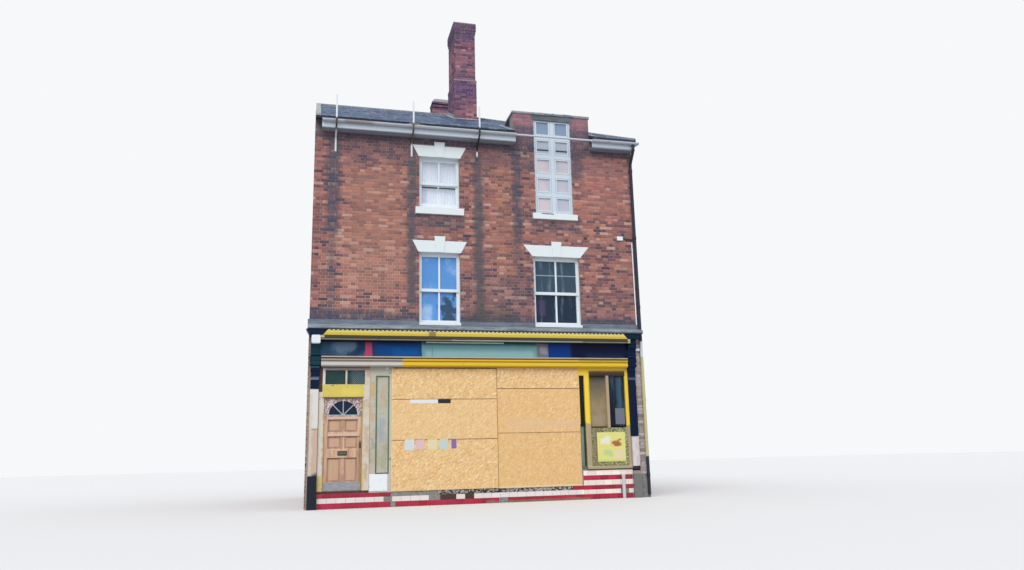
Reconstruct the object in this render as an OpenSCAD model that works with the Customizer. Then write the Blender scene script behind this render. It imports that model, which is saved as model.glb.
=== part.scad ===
// Three-storey brick corner shop with a timber shopfront, slate roof and brick chimneys.
// Front pieces are placed from the party corner: x along the street, y inwards from the
// brick face, z up from the lowest ground. facade() moves that corner to the plan centre.

/* [House] */
// Width along the street
house_w = 8050; // [7600:10:9000]
// Depth from street to yard
house_d = 7200; // [6800:10:8400]
// Thickness of the street wall
front_wall_t = 330; // [300:5:450]
// Thickness of the party and gable walls
side_wall_t = 250; // [225:5:300]
// Thickness of the yard wall
rear_wall_t = 330; // [300:5:450]
// Top of the shop floor
shop_floor_z = 370; // [300:5:372]
// Top of the first floor
first_floor_z = 3650; // [3600:5:3700]
// Top of the second floor
second_floor_z = 6350; // [6250:10:6550]
// Thickness of the upper floors with their ceilings
floor_t = 250; // [200:5:260]

/* [Roof] */
// Slate surface above ground at the brick face
eaves_z = 9144; // [9050:2:9200]
// Slope of both roof faces in degrees
roof_pitch = 27.8; // [25:0.1:32]
// Thickness of slates, battens and boarding
roof_t = 130; // [100:5:150]
// Slates past the brick face
eaves_out = 250; // [240:5:300]
// Width of the ridge tiles
ridge_tile_w = 260; // [200:5:320]
// Height of the mortar kerb along the party wall
verge_h = 60; // [40:5:110]
// Width of the kerb along the party wall
verge_w = 120; // [100:5:190]
// Reach of the hip end's slates past the wall
side_eaves_out = 60; // [40:5:80]

/* [Wall dormer] */
// Raised brickwork left of the middle of the right windows
dormer_left = 1030; // [980:10:1080]
// Width of the raised brickwork
dormer_w = 2030; // [1900:10:2200]
// Top of the raised brickwork
dormer_top_z = 9605; // [9600:5:9800]
// Thickness of the lead flat
dormer_roof_t = 60; // [40:5:90]
// Thickness of the dormer cheeks
cheek_t = 150; // [100:5:200]

/* [Chimneys] */
// Left face of the main stack from the gable corner
stack_in = 4265; // [4200:5:4350]
// Width of the main stack
stack_w = 642; // [560:2:700]
// Street face of the main stack
stack_y = 2300; // [2200:10:2450]
// Depth of the main stack
stack_d = 1000; // [900:10:1100]
// Top of the main stack
stack_top_z = 13390; // [12800:10:13800]
// Level where the main stack narrows
stack_step_z = 11570; // [11450:10:11900]
// Left face of the yard stack
rear_stack_x = 3815; // [3750:5:3900]
// Width of the yard stack
rear_stack_w = 750; // [600:10:850]
// Depth of the yard stack
rear_stack_d = 450; // [400:10:600]
// Top of the yard stack
rear_stack_top_z = 12950; // [12200:10:13200]

/* [Windows] */
// Middle of the left windows
left_window_x = 2975; // [2900:5:3050]
// Middle of the right windows from the gable corner
right_window_in = 2150; // [2100:5:2200]
// Width of the left openings
left_window_w = 990; // [900:5:1080]
// Width of the first floor right opening
right_window_w = 1200; // [1100:5:1260]
// Width of the tall stair window
tall_window_w = 980; // [880:5:1060]
// Bottom of the first floor openings
first_sill_z = 4062; // [4062:2:4100]
// Height of the first floor openings
first_window_h = 1780; // [1650:5:1850]
// Bottom of the second floor openings
second_sill_z = 6950; // [6880:5:7000]
// Height of the second floor opening
second_window_h = 1310; // [1200:5:1360]
// Height of the tall stair window
tall_window_h = 2520; // [2420:5:2540]
// Tall window set back from the brick face
tall_recess = 30; // [20:5:60]
// Glass set back from the brick face
window_recess = 100; // [80:5:130]
// Height of the painted flat arches
arch_h = 285; // [220:5:320]
// Depth of the arches and sills in the wall
arch_d = 100; // [80:5:130]

/* [Shopfront] */
// Underside of the fascia moulding and top of the frames
shop_head_z = 3085; // [3060:1:3095]
// Face of the frames in front of the brick face
frame_out = 40; // [30:1:50]
// Depth of the frames
frame_d = 100; // [80:1:120]
// Face of the fascia in front of the brick face
fascia_out = 140; // [120:2:160]
// Height of the fascia moulding
moulding_h = 223; // [200:1:240]
// Top of the fascia
fascia_top_z = 3660; // [3640:2:3680]
// Front of the awning box
awning_out = 300; // [280:2:320]
// Height of the awning box
awning_h = 137; // [120:1:150]
// Height of the rail under the awning box
awning_rail_h = 103; // [90:1:110]
// Wall line of the lead
lead_top_z = 4170; // [4140:5:4200]
// Middle of the left pilaster
left_pilaster_x = 150; // [140:1:150]
// Middle of the right pilaster from the gable corner
right_pilaster_in = 350; // [320:1:370]
// Width of a pilaster shaft
pilaster_w = 180; // [150:1:180]
// Width of the brick strip between the shopfront and the gable wall
corner_pier_w = 200; // [150:1:240]
// Left edge of the boarding
boarding_x = 1850; // [1830:1:1900]
// Seam between the two columns of boards
boarding_seam_x = 4300; // [4200:5:4400]
// Width of the corner bay, from the boards to the gable corner
corner_bay_w = 1730; // [1700:1:1770]
// Thickness of one board
board_t = 18; // [12:1:25]
// Top of the tiled stallriser
stallriser_z = 680; // [640:1:700]
// Top of the tiled plinth under the door
door_plinth_z = 320; // [280:1:325]

/* [Shop door] */
// Hinge edge of the leaf
door_x = 370; // [360:1:400]
// Width of the leaf
door_w = 830; // [780:1:838]
// Bottom of the leaf
door_z = 380; // [380:1:400]
// Height of the leaf
door_h = 2000; // [1950:1:2010]
// Thickness of the leaf
door_t = 45; // [38:1:50]
// Depth of the panels in the leaf
panel_sink = 10; // [6:1:14]
// Gap between the leaf and its frame
door_gap = 5; // [5:0.5:8]

/* [Pipes] */
// Radius of the downpipe
pipe_r = 38; // [30:1:40]
// Radius of the gutter
gutter_r = 55; // [45:1:60]
// Radius of the pipe that joins the gutters across the dormer
link_r = 25; // [18:1:30]

/* [Hidden] */
$fn = 32;
// Clearance between pieces that seat in or against one another
fit = 0.3;
ridge_y = house_d / 2;
roof_fall = roof_t / cos(roof_pitch);
hip_foot_x = house_w + side_eaves_out;
hip_top_x = hip_foot_x - ridge_y - eaves_out;
right_window_x = house_w - right_window_in;
stack_x = house_w - stack_in;
dormer_x = right_window_x - dormer_left;
right_pilaster_x = house_w - right_pilaster_in;
corner_pier_x = house_w - side_wall_t - corner_pier_w;
boarding_end_x = house_w - corner_bay_w;
upper_wall_z = 3700;
beam_z = 3380;
frame_y = -frame_out;
frame_back_y = frame_d - frame_out;
floor_x0 = side_wall_t;
floor_x1 = house_w - side_wall_t;
floor_y0 = front_wall_t;
floor_y1 = house_d - rear_wall_t;
dormer_end = dormer_x + dormer_w;
dormer_back_y = slope_y(dormer_top_z) - 1;
flat_top_z = dormer_top_z + dormer_roof_t;
flat_edge = 25;
rear_window_xs = [1900, house_w - 1900];
rear_window_w = left_window_w;
rear_shop_sill_z = 1250;
jamb_w = 75;
head_h = 90;
bottom_h = 150;
meeting_h = 70;
bar_w = 42;
stile_w = 50;
sash_foot = 60;
sash_t = 42;
parting = 12;
lower_share = 0.47;
box_d = 120;
tall_glass_in = 30;
tall_frame_d = 90;
glass_t = 6;
moulding_top_z = shop_head_z + moulding_h;
awning_z = fascia_top_z + awning_rail_h;
awning_top_z = awning_z + awning_h;
cornice_out = 200;
pilaster_out = 90;
left_pilaster_base = 710;
right_pilaster_base = 630;
base_spread = 10;
frame_x0 = max(side_wall_t, left_pilaster_x + pilaster_w / 2 + base_spread) + fit;
frame_x1 = min(corner_pier_x, right_pilaster_x - pilaster_w / 2 - base_spread) - fit;
capital_w = 256;
capital_h = 325;
console_w = 220;
console_out = 225;
hollow_out = 140;
cap_top_w = 440;
alarm_half = 97;
cap_foot_w = 290;
lead_x0 = -40;
lead_x1 = house_w - 95;
lead_out = 320;
lead_t = 12;
lead_front_z = 3986;
lead_back_z = 4060;
lead_drip_z = awning_top_z + 8;
fascia_x0 = left_pilaster_x + console_w / 2 + fit;
fascia_x1 = right_pilaster_x - console_w / 2 - fit;
moulding_x0 = left_pilaster_x + capital_w / 2 + fit;
moulding_x1 = right_pilaster_x - capital_w / 2 - fit;
boarding_z = 320;
threshold_z = door_z - door_gap;
door_head_z = door_z + door_h + door_gap;
door_end_x = door_x + door_w;
door_post_x = door_end_x + 160;

// Height of the slate surface at depth y, on whichever slope covers it
function slate_z(y) = eaves_z + min(y, house_d - y) * tan(roof_pitch);
// Height of the slates on the hip end at x
function hip_end_z(x) = slate_z(-eaves_out) + (hip_foot_x - x) * tan(roof_pitch);
// Height of the roof's underside at depth y
function under_z(y) = slate_z(y) - roof_fall;
// Height of the wall tops that carry the roof at depth y
function wall_top_z(y) = under_z(y) - fit;
// Depth at which the street slope reaches height z
function slope_y(z) = (z - eaves_z) / tan(roof_pitch);

// Front pieces are drawn from the party corner and moved to the plan centre
module facade() {
    translate([-house_w / 2, -house_d / 2, 0]) children();
}

// The yard side is the street side turned half round
module yard() {
    translate([house_w, house_d, 0]) rotate([0, 0, 180]) children();
}

// A box between two corners
module block(x0, x1, y0, y1, z0, z1) {
    translate([x0, y0, z0]) cube([x1 - x0, y1 - y0, z1 - z0]);
}

// A prism along x from a profile of [y, z] points
module along_x(x0, x1) {
    translate([x0, 0, 0]) rotate([90, 0, 90]) linear_extrude(x1 - x0) children();
}

// A prism along y from an outline of [x, z] points
module along_y(y0, y1) {
    translate([0, y1, 0]) rotate([90, 0, 0]) linear_extrude(y1 - y0) children();
}

// Points of an arc round (cx, cz) from angle a0 to a1
function arc(cx, cz, r, a0, a1, steps = 6) =
    [for (i = [0 : steps]) let (a = a0 + (a1 - a0) * i / steps) [cx + r * cos(a), cz + r * sin(a)]];

// A block that stands out from the wall and whose moulding returns along both sides.
// The profile is a list of [projection, z] from the bottom up.
module moulded(x, half_w, out, profile) {
    z0 = profile[0][1];
    z1 = profile[len(profile) - 1][1];
    turned = [for (i = [len(profile) - 1 : -1 : 0]) profile[i]];
    intersection() {
        along_x(x - 2 * half_w, x + 2 * half_w)
            polygon(concat([[-fit, z0]], [for (p = profile) [-out - p[0], p[1]]], [[-fit, z1]]));
        along_y(-2 * out - half_w, 0)
            polygon(concat([for (p = profile) [x + half_w + p[0], p[1]]],
                [for (p = turned) [x - half_w - p[0], p[1]]]));
    }
}

// Floors

module stack_shaft(clear) {
    block(stack_x - clear, stack_x + stack_w + clear, stack_y - clear, stack_y + stack_d + clear,
        0, stack_step_z);
}

module rear_stack_shaft(clear) {
    block(rear_stack_x - clear, rear_stack_x + rear_stack_w + clear,
        floor_y1 - rear_stack_d - clear, floor_y1 + clear, 0, rear_stack_top_z);
}

module ground_floor() {
    color("dimgray") facade() difference() {
        block(floor_x0, floor_x1, frame_back_y, floor_y1, 0, shop_floor_z);
        block(corner_pier_x - fit, floor_x1 + fit, 0, front_wall_t + fit, -1, shop_floor_z + 1);
    }
}

module upper_floor(top_z) {
    difference() {
        block(floor_x0, floor_x1, floor_y0, floor_y1, top_z - floor_t, top_z);
        stack_shaft(fit);
        rear_stack_shaft(fit);
    }
}

module first_floor() {
    color("peru") facade() upper_floor(first_floor_z);
}

module second_floor() {
    color("peru") facade() upper_floor(second_floor_z);
}

// Walls

module side_wall_outline() {
    polygon([
        [0, 0], [floor_y1, 0], [floor_y1, wall_top_z(floor_y1)], [ridge_y, wall_top_z(ridge_y)],
        [floor_y0, wall_top_z(floor_y0)], [floor_y0, beam_z], [0, beam_z]
    ]);
}

module party_wall() {
    color("sienna") facade() along_x(0, side_wall_t) side_wall_outline();
}

module gable_wall() {
    color("sienna") facade() difference() {
        along_x(house_w - side_wall_t, house_w) side_wall_outline();
        over_hip_end();
    }
}

module corner_pier() {
    color("sienna") facade()
        block(corner_pier_x, house_w - side_wall_t, 0, front_wall_t, 0, beam_z);
}

module shop_beam() {
    color("saddlebrown") facade() block(0, house_w, 0, front_wall_t, beam_z, upper_wall_z);
}

// A wall from one side of the house to the other whose top follows the roof
module long_wall(foot_z, wall_t) {
    along_x(0, house_w) polygon([
        [0, foot_z], [wall_t, foot_z], [wall_t, wall_top_z(wall_t)], [0, wall_top_z(0)]
    ]);
}

module window_hole(x, w, sill_z, h, wall_t) {
    block(x - w / 2, x + w / 2, -1, wall_t + 1, sill_z, sill_z + h);
}

module front_wall() {
    color("indianred") facade() difference() {
        union() {
            long_wall(upper_wall_z, front_wall_t);
            block(dormer_x, dormer_end, 0, front_wall_t, eaves_z - roof_fall, dormer_top_z);
        }
        window_hole(left_window_x, left_window_w, first_sill_z, first_window_h, front_wall_t);
        window_hole(right_window_x, right_window_w, first_sill_z, first_window_h, front_wall_t);
        window_hole(left_window_x, left_window_w, second_sill_z, second_window_h, front_wall_t);
        window_hole(right_window_x, tall_window_w, second_sill_z, tall_window_h, front_wall_t);
        front_arches(true);
        front_sills(true);
        tall_lintel(fit);
        over_hip_end();
    }
}

module rear_wall() {
    color("indianred") facade() difference() {
        yard() long_wall(0, rear_wall_t);
        yard() for (x = rear_window_xs) {
            window_hole(x, rear_window_w, rear_shop_sill_z, first_window_h, rear_wall_t);
            window_hole(x, rear_window_w, first_sill_z, first_window_h, rear_wall_t);
            window_hole(x, rear_window_w, second_sill_z, second_window_h, rear_wall_t);
        }
        rear_arches(true);
        rear_sills(true);
        over_hip_end();
    }
}

// Roof

plan_margin = 10;

// A column over the plan of the hip end, from its two hips outwards; shift moves it out
module hip_end_plan(shift) {
    foot_x = hip_foot_x + plan_margin + shift;
    far_x = hip_foot_x + house_d;
    y0 = -eaves_out - plan_margin;
    y1 = house_d + eaves_out + plan_margin;
    linear_extrude(stack_top_z)
        polygon([[hip_top_x + shift, ridge_y], [foot_x, y0], [far_x, y0], [far_x, y1], [foot_x, y1]]);
}

// What the hip end and its underside take off the wall tops
module over_hip_end() {
    intersection() {
        along_y(-eaves_out, house_d + eaves_out) polygon([
            [hip_top_x, hip_end_z(hip_top_x) - roof_fall - fit],
            [hip_foot_x, hip_end_z(hip_foot_x) - roof_fall - fit],
            [hip_foot_x, stack_top_z], [hip_top_x, stack_top_z]
        ]);
        hip_end_plan(-2 * eaves_out / 3);
    }
}

// Slates and boarding between the hips; the boarding stops on the wall
module hip_end() {
    intersection() {
        along_y(-eaves_out, house_d + eaves_out) polygon([
            [hip_foot_x, hip_end_z(hip_foot_x)], [hip_foot_x, hip_end_z(hip_foot_x) - slate_edge_t],
            [house_w, hip_end_z(house_w) - slate_edge_t], [house_w, hip_end_z(house_w) - roof_fall],
            [hip_top_x, hip_end_z(hip_top_x) - roof_fall], [hip_top_x, hip_end_z(hip_top_x)]
        ]);
        hip_end_plan(2 * fit);
    }
}

// One long slope, up to its hip: boarding stops behind the gutter and the slates run on over it
module slope_slab(yard_side) {
    boarding_y = fascia_y + 30;
    function at(y) = yard_side ? house_d - y : y;
    along_edge_z = slate_z(boarding_y) - slate_edge_t;
    difference() {
        intersection() {
            along_x(0, hip_foot_x) polygon([for (p = [
                [-eaves_out, slate_z(-eaves_out)], [ridge_y, slate_z(ridge_y)],
                [ridge_y, under_z(ridge_y)], [boarding_y, under_z(boarding_y)],
                [boarding_y, along_edge_z], [-eaves_out, slate_z(-eaves_out) - slate_edge_t]
            ]) [at(p[0]), p[1]]]);
            linear_extrude(stack_top_z) polygon([
                [-plan_margin, at(-eaves_out - plan_margin)],
                [hip_foot_x + plan_margin, at(-eaves_out - plan_margin)],
                [hip_top_x - plan_margin, at(ridge_y + plan_margin)],
                [-plan_margin, at(ridge_y + plan_margin)]
            ]);
        }
        block(house_w, hip_foot_x + 1, -eaves_out - 1, house_d + eaves_out + 1, 0, along_edge_z);
    }
}

module front_roof() {
    color("slategray") facade() difference() {
        slope_slab(false);
        stack_shaft(fit);
        block(dormer_x - fit, dormer_end + fit, -eaves_out - 1, front_wall_t + fit, 0, dormer_top_z);
        block(dormer_x + cheek_t, dormer_end - cheek_t, 0, dormer_back_y, 0, dormer_top_z);
    }
}

module rear_roof() {
    color("slategray") facade() {
        difference() {
            slope_slab(true);
            rear_stack_shaft(fit);
        }
        hip_end();
    }
}

// Angled tiles with a roll along the top, over two faces that fall away from the line by fall
module capping(length, fall) {
    half = ridge_tile_w / 2;
    drop = half * fall;
    tile_t = 28;
    roll_r = 42;
    along_x(0, length) polygon(concat(
        [
            [-half, tile_t - drop], [-half, fit - drop], [0, fit], [half, fit - drop],
            [half, tile_t - drop]
        ],
        arc(0, 8, roll_r, 0, 180)
    ));
}

module ridge_tiles() {
    foot_z = slate_z(-eaves_out);
    hip_run = (ridge_y + eaves_out) * sqrt(2);
    hip_rise = slate_z(ridge_y) - foot_z;
    hip_lean = atan(hip_rise / hip_run);
    color("darkslategray") facade() {
        translate([verge_w + fit, ridge_y, slate_z(ridge_y)])
            capping(hip_top_x - verge_w - fit, tan(roof_pitch));
        difference() {
            intersection() {
                union() for (side = [[-eaves_out, 135], [house_d + eaves_out, 225]])
                    translate([hip_foot_x, side[0], foot_z]) rotate([0, -hip_lean, side[1]])
                        capping(hip_run / cos(hip_lean), sin(hip_lean));
                block(0, hip_foot_x, -eaves_out, house_d + eaves_out, 0, stack_top_z);
            }
            // The hips are trimmed round the corner of the dormer's flat and of the main stack
            block(dormer_x, dormer_end + flat_edge + fit, -eaves_out - 1, slope_y(flat_top_z) + fit,
                0, flat_top_z + fit);
            stack_shaft(fit);
        }
    }
}

module verge_kerb() {
    top_z = slate_z(ridge_y);
    foot_z = slate_z(-eaves_out);
    color("darkgray") facade() along_x(0, verge_w) polygon([
        [-eaves_out, foot_z + fit], [ridge_y, top_z + fit], [house_d + eaves_out, foot_z + fit],
        [house_d + eaves_out, foot_z + verge_h], [ridge_y, top_z + verge_h],
        [-eaves_out, foot_z + verge_h]
    ]);
}

module dormer_cheek(x0) {
    along_x(x0, x0 + cheek_t) polygon([
        [front_wall_t, slate_z(front_wall_t) + fit], [dormer_back_y, dormer_top_z],
        [front_wall_t, dormer_top_z]
    ]);
}

module dormer_cheeks() {
    color("slategray") facade() {
        dormer_cheek(dormer_x);
        dormer_cheek(dormer_end - cheek_t);
    }
}

module dormer_flat() {
    color("lightslategray") facade() along_x(dormer_x - flat_edge, dormer_end + flat_edge) polygon([
        [-flat_edge, dormer_top_z + fit], [dormer_back_y, dormer_top_z + fit],
        [slope_y(flat_top_z) - 1, flat_top_z], [-flat_edge, flat_top_z]
    ]);
}

// Chimneys

string_h = 22;
cap_h = 245;
corbel_h = 85;
corbel_out = 30;

// Corbelled head of a stack that stands on a shaft from (x0, y0) to (x1, y1)
module stack_head(x0, x1, y0, y1, top_z, cap_h, band_h, spread) {
    block(x0 - spread / 2, x1 + spread / 2, y0 - spread / 2, y1 + spread / 2,
        top_z - cap_h - band_h, top_z - cap_h);
    block(x0 - spread, x1 + spread, y0 - spread, y1 + spread, top_z - cap_h, top_z);
}

// Outline between a and b that draws in by inset from z0 to z1
module tapered(a, b, z0, z1, inset) {
    polygon([[a, z0], [b, z0], [b - inset, z1], [a + inset, z1]]);
}

module main_chimney() {
    inset = 24;
    string_out = 12;
    x1 = stack_x + stack_w;
    y1 = stack_y + stack_d;
    color("firebrick") facade() {
        block(stack_x, x1, stack_y, y1, shop_floor_z, stack_step_z);
        block(stack_x + inset, x1 - inset, stack_y + inset, y1 - inset, stack_step_z, stack_top_z);
        block(stack_x - string_out, x1 + string_out, stack_y - string_out, y1 + string_out,
            stack_step_z - string_h, stack_step_z + string_h);
        stack_head(stack_x + inset, x1 - inset, stack_y + inset, y1 - inset, stack_top_z,
            cap_h, corbel_h, corbel_out);
    }
}

module rear_chimney() {
    x1 = rear_stack_x + rear_stack_w;
    y0 = floor_y1 - rear_stack_d;
    band_out = 20;
    flaunching_z = rear_stack_top_z - 140;
    band_z = flaunching_z - 190;
    color("firebrick") facade() {
        block(rear_stack_x, x1, y0, floor_y1, shop_floor_z, flaunching_z);
        block(rear_stack_x - band_out, x1 + band_out, y0 - band_out, floor_y1 + band_out, band_z,
            band_z + corbel_h);
        block(rear_stack_x - corbel_out, x1 + corbel_out, y0 - corbel_out, floor_y1 + corbel_out,
            flaunching_z - 70, flaunching_z);
        // Mortar that sheds the rain, drawn in towards the top
        intersection() {
            along_x(rear_stack_x - corbel_out, x1 + corbel_out)
                tapered(y0 - corbel_out, floor_y1 + corbel_out, flaunching_z, rear_stack_top_z, 90);
            along_y(y0 - corbel_out, floor_y1 + corbel_out)
                tapered(rear_stack_x - corbel_out, x1 + corbel_out, flaunching_z,
                    rear_stack_top_z, 90);
        }
    }
}

// Eaves

fascia_in = 20;
fascia_y = -(eaves_out - fascia_in);
slate_edge_t = 60;
eaves_board_t = 25;
eaves_board_gap = 8;
eaves_board_z = slate_z(fascia_y) - slate_edge_t - eaves_board_gap;
eaves_board_h = 225;
soffit_z = eaves_board_z - eaves_board_h;
left_eaves_x = 150;

// Boxed eaves: a soffit and an upright board, carried by the wall
module eaves_box(x0, x1) {
    along_x(x0, x1) polygon([
        [-fit, soffit_z], [fascia_y, soffit_z], [fascia_y, eaves_board_z],
        [fascia_y + eaves_board_t, eaves_board_z],
        [fascia_y + eaves_board_t, soffit_z + eaves_board_t], [-fit, soffit_z + eaves_board_t]
    ]);
}

module eaves_boxes() {
    color("gainsboro") facade() {
        eaves_box(left_eaves_x, dormer_x);
        eaves_box(dormer_end, house_w);
        yard() eaves_box(0, house_w);
    }
}

gutter_z = eaves_board_z - 35;
gutter_y = fascia_y - gutter_r - fit;
gutter_t = 4;
gutter_over = 110;

// Half-round trough with a stop end at each end
module trough(x0, x1) {
    difference() {
        along_x(x0, x1) translate([gutter_y, gutter_z]) difference() {
            circle(r = gutter_r);
            translate([-gutter_r, 0]) square([2 * gutter_r, gutter_r]);
        }
        along_x(x0 + gutter_t, x1 - gutter_t) translate([gutter_y, gutter_z])
            circle(r = gutter_r - gutter_t);
    }
}

module gutters() {
    link_z = gutter_z - link_r;
    color("gainsboro") facade() {
        trough(left_eaves_x, dormer_x);
        trough(dormer_end, house_w + gutter_over);
        // Along the hip end, between the street gutter and the yard gutter
        translate([house_w + fit + gutter_r + gutter_y, 0, 0]) rotate([0, 0, 90])
            trough(gutter_y + gutter_r + fit, house_d - gutter_y - gutter_r - fit);
        translate([dormer_x + fit, gutter_y, link_z]) rotate([0, 90, 0])
            cylinder(r = link_r, h = dormer_w - 2 * fit);
        yard() trough(-gutter_over, house_w);
    }
}

post_xs = [475, 2290, 3920];
post_w = 40;
post_t = 12;
post_gap = 25;
post_bend_drop = 8;
post_foot_down = 500;
post_bend_down = 170;
post_over_up = 70;
post_top_up = 790;
post_foot_z = soffit_z - post_foot_down;
post_bend_z = soffit_z - post_bend_down;
post_over_z = soffit_z + post_over_up;
post_top_z = soffit_z + post_top_up;

// Steel posts bolted to the brick below the eaves and bent round the gutter
module eaves_post(x) {
    reach = gutter_y - gutter_r - post_gap;
    along_x(x - post_w / 2, x + post_w / 2) polygon([
        [-fit, post_foot_z], [-fit, post_bend_z], [reach, post_over_z], [reach, post_top_z],
        [reach - post_t, post_top_z], [reach - post_t, post_over_z - post_bend_drop],
        [-fit - post_t, post_bend_z - post_bend_drop], [-fit - post_t, post_foot_z]
    ]);
}

module eaves_posts() {
    color("whitesmoke") facade() for (x = post_xs) eaves_post(x);
}

// Windows

arch_bearing = 20;
arch_out = 12;
key_out = 32;
key_w = 265;
splay = 145;
wide_splay = 230;

// Flat arch with a keystone over an opening that ends at head_z
module flat_arch(x, w, head_z, splay, key_rise, cut) {
    clear = cut ? fit : 0;
    half = w / 2 + arch_bearing + clear;
    key_foot = key_w / 2 - 42 + clear;
    key_head = key_w / 2 + clear;
    back_y = arch_d + clear;
    top_z = head_z + arch_h + clear;
    along_y(cut ? -1 : -arch_out, back_y) polygon([
        [x - half, head_z], [x + half, head_z], [x + half + splay, top_z],
        [x - half - splay, top_z]
    ]);
    along_y(cut ? -1 : -key_out, back_y) polygon([
        [x - key_foot, head_z], [x + key_foot, head_z],
        [x + key_head, top_z + key_rise], [x - key_head, top_z + key_rise]
    ]);
}

module front_arches(cut) {
    flat_arch(left_window_x, left_window_w, first_sill_z + first_window_h, splay, 110, cut);
    flat_arch(right_window_x, right_window_w, first_sill_z + first_window_h, wide_splay, 100,
        cut);
    flat_arch(left_window_x, left_window_w, second_sill_z + second_window_h, splay, 100, cut);
}

module rear_arches(cut) {
    yard() for (x = rear_window_xs) {
        flat_arch(x, rear_window_w, rear_shop_sill_z + first_window_h, splay, 100, cut);
        flat_arch(x, rear_window_w, first_sill_z + first_window_h, splay, 100, cut);
        flat_arch(x, rear_window_w, second_sill_z + second_window_h, splay, 100, cut);
    }
}

module window_arches() {
    color("whitesmoke") facade() {
        front_arches(false);
        rear_arches(false);
    }
}

sill_h = 145;
deep_sill_h = 165;
nosing_h = 95;
nosing_out = 30;

// Stone sill under an opening that starts at sill_z
module stone_sill(x, w, sill_z, sill_h, cut) {
    clear = cut ? fit : 0;
    half = w / 2 + 95 + clear;
    back_y = window_recess + box_d + clear;
    block(x - half, x + half, cut ? -1 : -60, back_y, sill_z - sill_h - clear, sill_z);
}

// Timber nosing in front of a sash window that stands on the brickwork
module sill_nosing(x, w) {
    along_x(x - w / 2 + fit, x + w / 2 - fit) polygon([
        [window_recess - fit, first_sill_z], [window_recess - fit, first_sill_z + nosing_h],
        [-nosing_out, first_sill_z + nosing_h - 25], [-nosing_out, first_sill_z + 12],
        [-fit, first_sill_z]
    ]);
}

module front_sills(cut) {
    stone_sill(left_window_x, left_window_w, second_sill_z, deep_sill_h, cut);
    stone_sill(right_window_x, tall_window_w, second_sill_z, sill_h, cut);
}

module rear_sills(cut) {
    yard() for (x = rear_window_xs, z = [rear_shop_sill_z, first_sill_z, second_sill_z])
        stone_sill(x, rear_window_w, z, sill_h, cut);
}

module window_sills() {
    color("whitesmoke") facade() {
        front_sills(false);
        rear_sills(false);
        sill_nosing(left_window_x, left_window_w);
        sill_nosing(right_window_x, right_window_w);
    }
}

// Panes of a sash window as [x0, x1, z0, z1, glass y], the lower sash first
function sash_panes(x, w, sill_z, h) =
    let (
        mid_z = sill_z + bottom_h + (h - bottom_h - head_h) * lower_share,
        rows = [
            [sill_z + bottom_h, mid_z - meeting_h / 2, window_recess + 2 * sash_t],
            [mid_z + meeting_h / 2, sill_z + h - head_h, window_recess + sash_t]
        ],
        cols = [[x - w / 2 + jamb_w, x - bar_w / 2], [x + bar_w / 2, x + w / 2 - jamb_w]]
    )
    [for (r = rows, c = cols) [c[0], c[1], r[0], r[1], r[2]]];

module pane_glass(panes) {
    for (p = panes)
        block(p[0] + fit, p[1] - fit, p[4], p[4] + glass_t, p[2] + fit, p[3] - fit);
}

// Box frame with its two sashes. The lower one slides behind the upper one, so the frame
// steps back round it.
module sash_window(x, w, sill_z, h, lower_bar = true) {
    lining_w = jamb_w - stile_w;
    back_y = window_recess + box_d;
    panes = sash_panes(x, w, sill_z, h);
    meet_z = panes[0][3];
    difference() {
        block(x - w / 2 + fit, x + w / 2 - fit, window_recess, back_y, sill_z, sill_z + h - fit);
        for (p = panes)
            block(p[0], p[1], 0, back_y + 1, p[2], p[3]);
        if (!lower_bar)
            block(panes[0][0], panes[1][1], 0, back_y + 1, panes[0][2], panes[0][3]);
        block(x - w / 2 + lining_w, x + w / 2 - lining_w, window_recess - 1,
            window_recess + sash_t, sill_z + sash_foot, meet_z);
        block(x - w / 2 + lining_w, x + w / 2 - lining_w, window_recess - 1,
            window_recess + parting, meet_z - 1, sill_z + h - lining_w);
    }
}

module sash_windows() {
    color("white") facade() {
        sash_window(left_window_x, left_window_w, first_sill_z, first_window_h);
        sash_window(right_window_x, right_window_w, first_sill_z, first_window_h);
        sash_window(left_window_x, left_window_w, second_sill_z, second_window_h, false);
        yard() for (x = rear_window_xs) {
            sash_window(x, rear_window_w, rear_shop_sill_z, first_window_h);
            sash_window(x, rear_window_w, first_sill_z, first_window_h);
            sash_window(x, rear_window_w, second_sill_z, second_window_h);
        }
    }
}

// Panes of the tall window: two columns of five
function tall_panes() =
    let (
        cols = 2, rows = 5, side = 85, foot = 98, head = 42, bar = 180,
        pane_w = (tall_window_w - 2 * side - bar) / cols,
        row_h = (tall_window_h - foot - head + bar) / rows,
        pane_h = row_h - bar
    )
    [for (c = [0 : cols - 1], r = [0 : rows - 1])
        let (
            x0 = right_window_x - tall_window_w / 2 + side + c * (pane_w + bar),
            z0 = second_sill_z + foot + r * row_h
        )
        [x0, x0 + pane_w, z0, z0 + pane_h, tall_recess + tall_glass_in]];

// Fixed frame with a small casement round each pane, rebated into the frame
module tall_window() {
    casement_w = 28;
    step = 8;
    x0 = right_window_x - tall_window_w / 2 + fit;
    x1 = right_window_x + tall_window_w / 2 - fit;
    back_y = tall_recess + tall_frame_d;
    color("white") facade() difference() {
        block(x0, x1, tall_recess, back_y, second_sill_z, second_sill_z + tall_window_h - fit);
        for (p = tall_panes()) {
            block(p[0], p[1], 0, back_y + 1, p[2], p[3]);
            difference() {
                block(p[0] - casement_w - 4, p[1] + casement_w + 4, 0, tall_recess + step,
                    p[2] - casement_w - 4, p[3] + casement_w + 4);
                block(p[0] - casement_w, p[1] + casement_w, 0, tall_recess + step,
                    p[2] - casement_w, p[3] + casement_w);
            }
        }
    }
}

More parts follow.
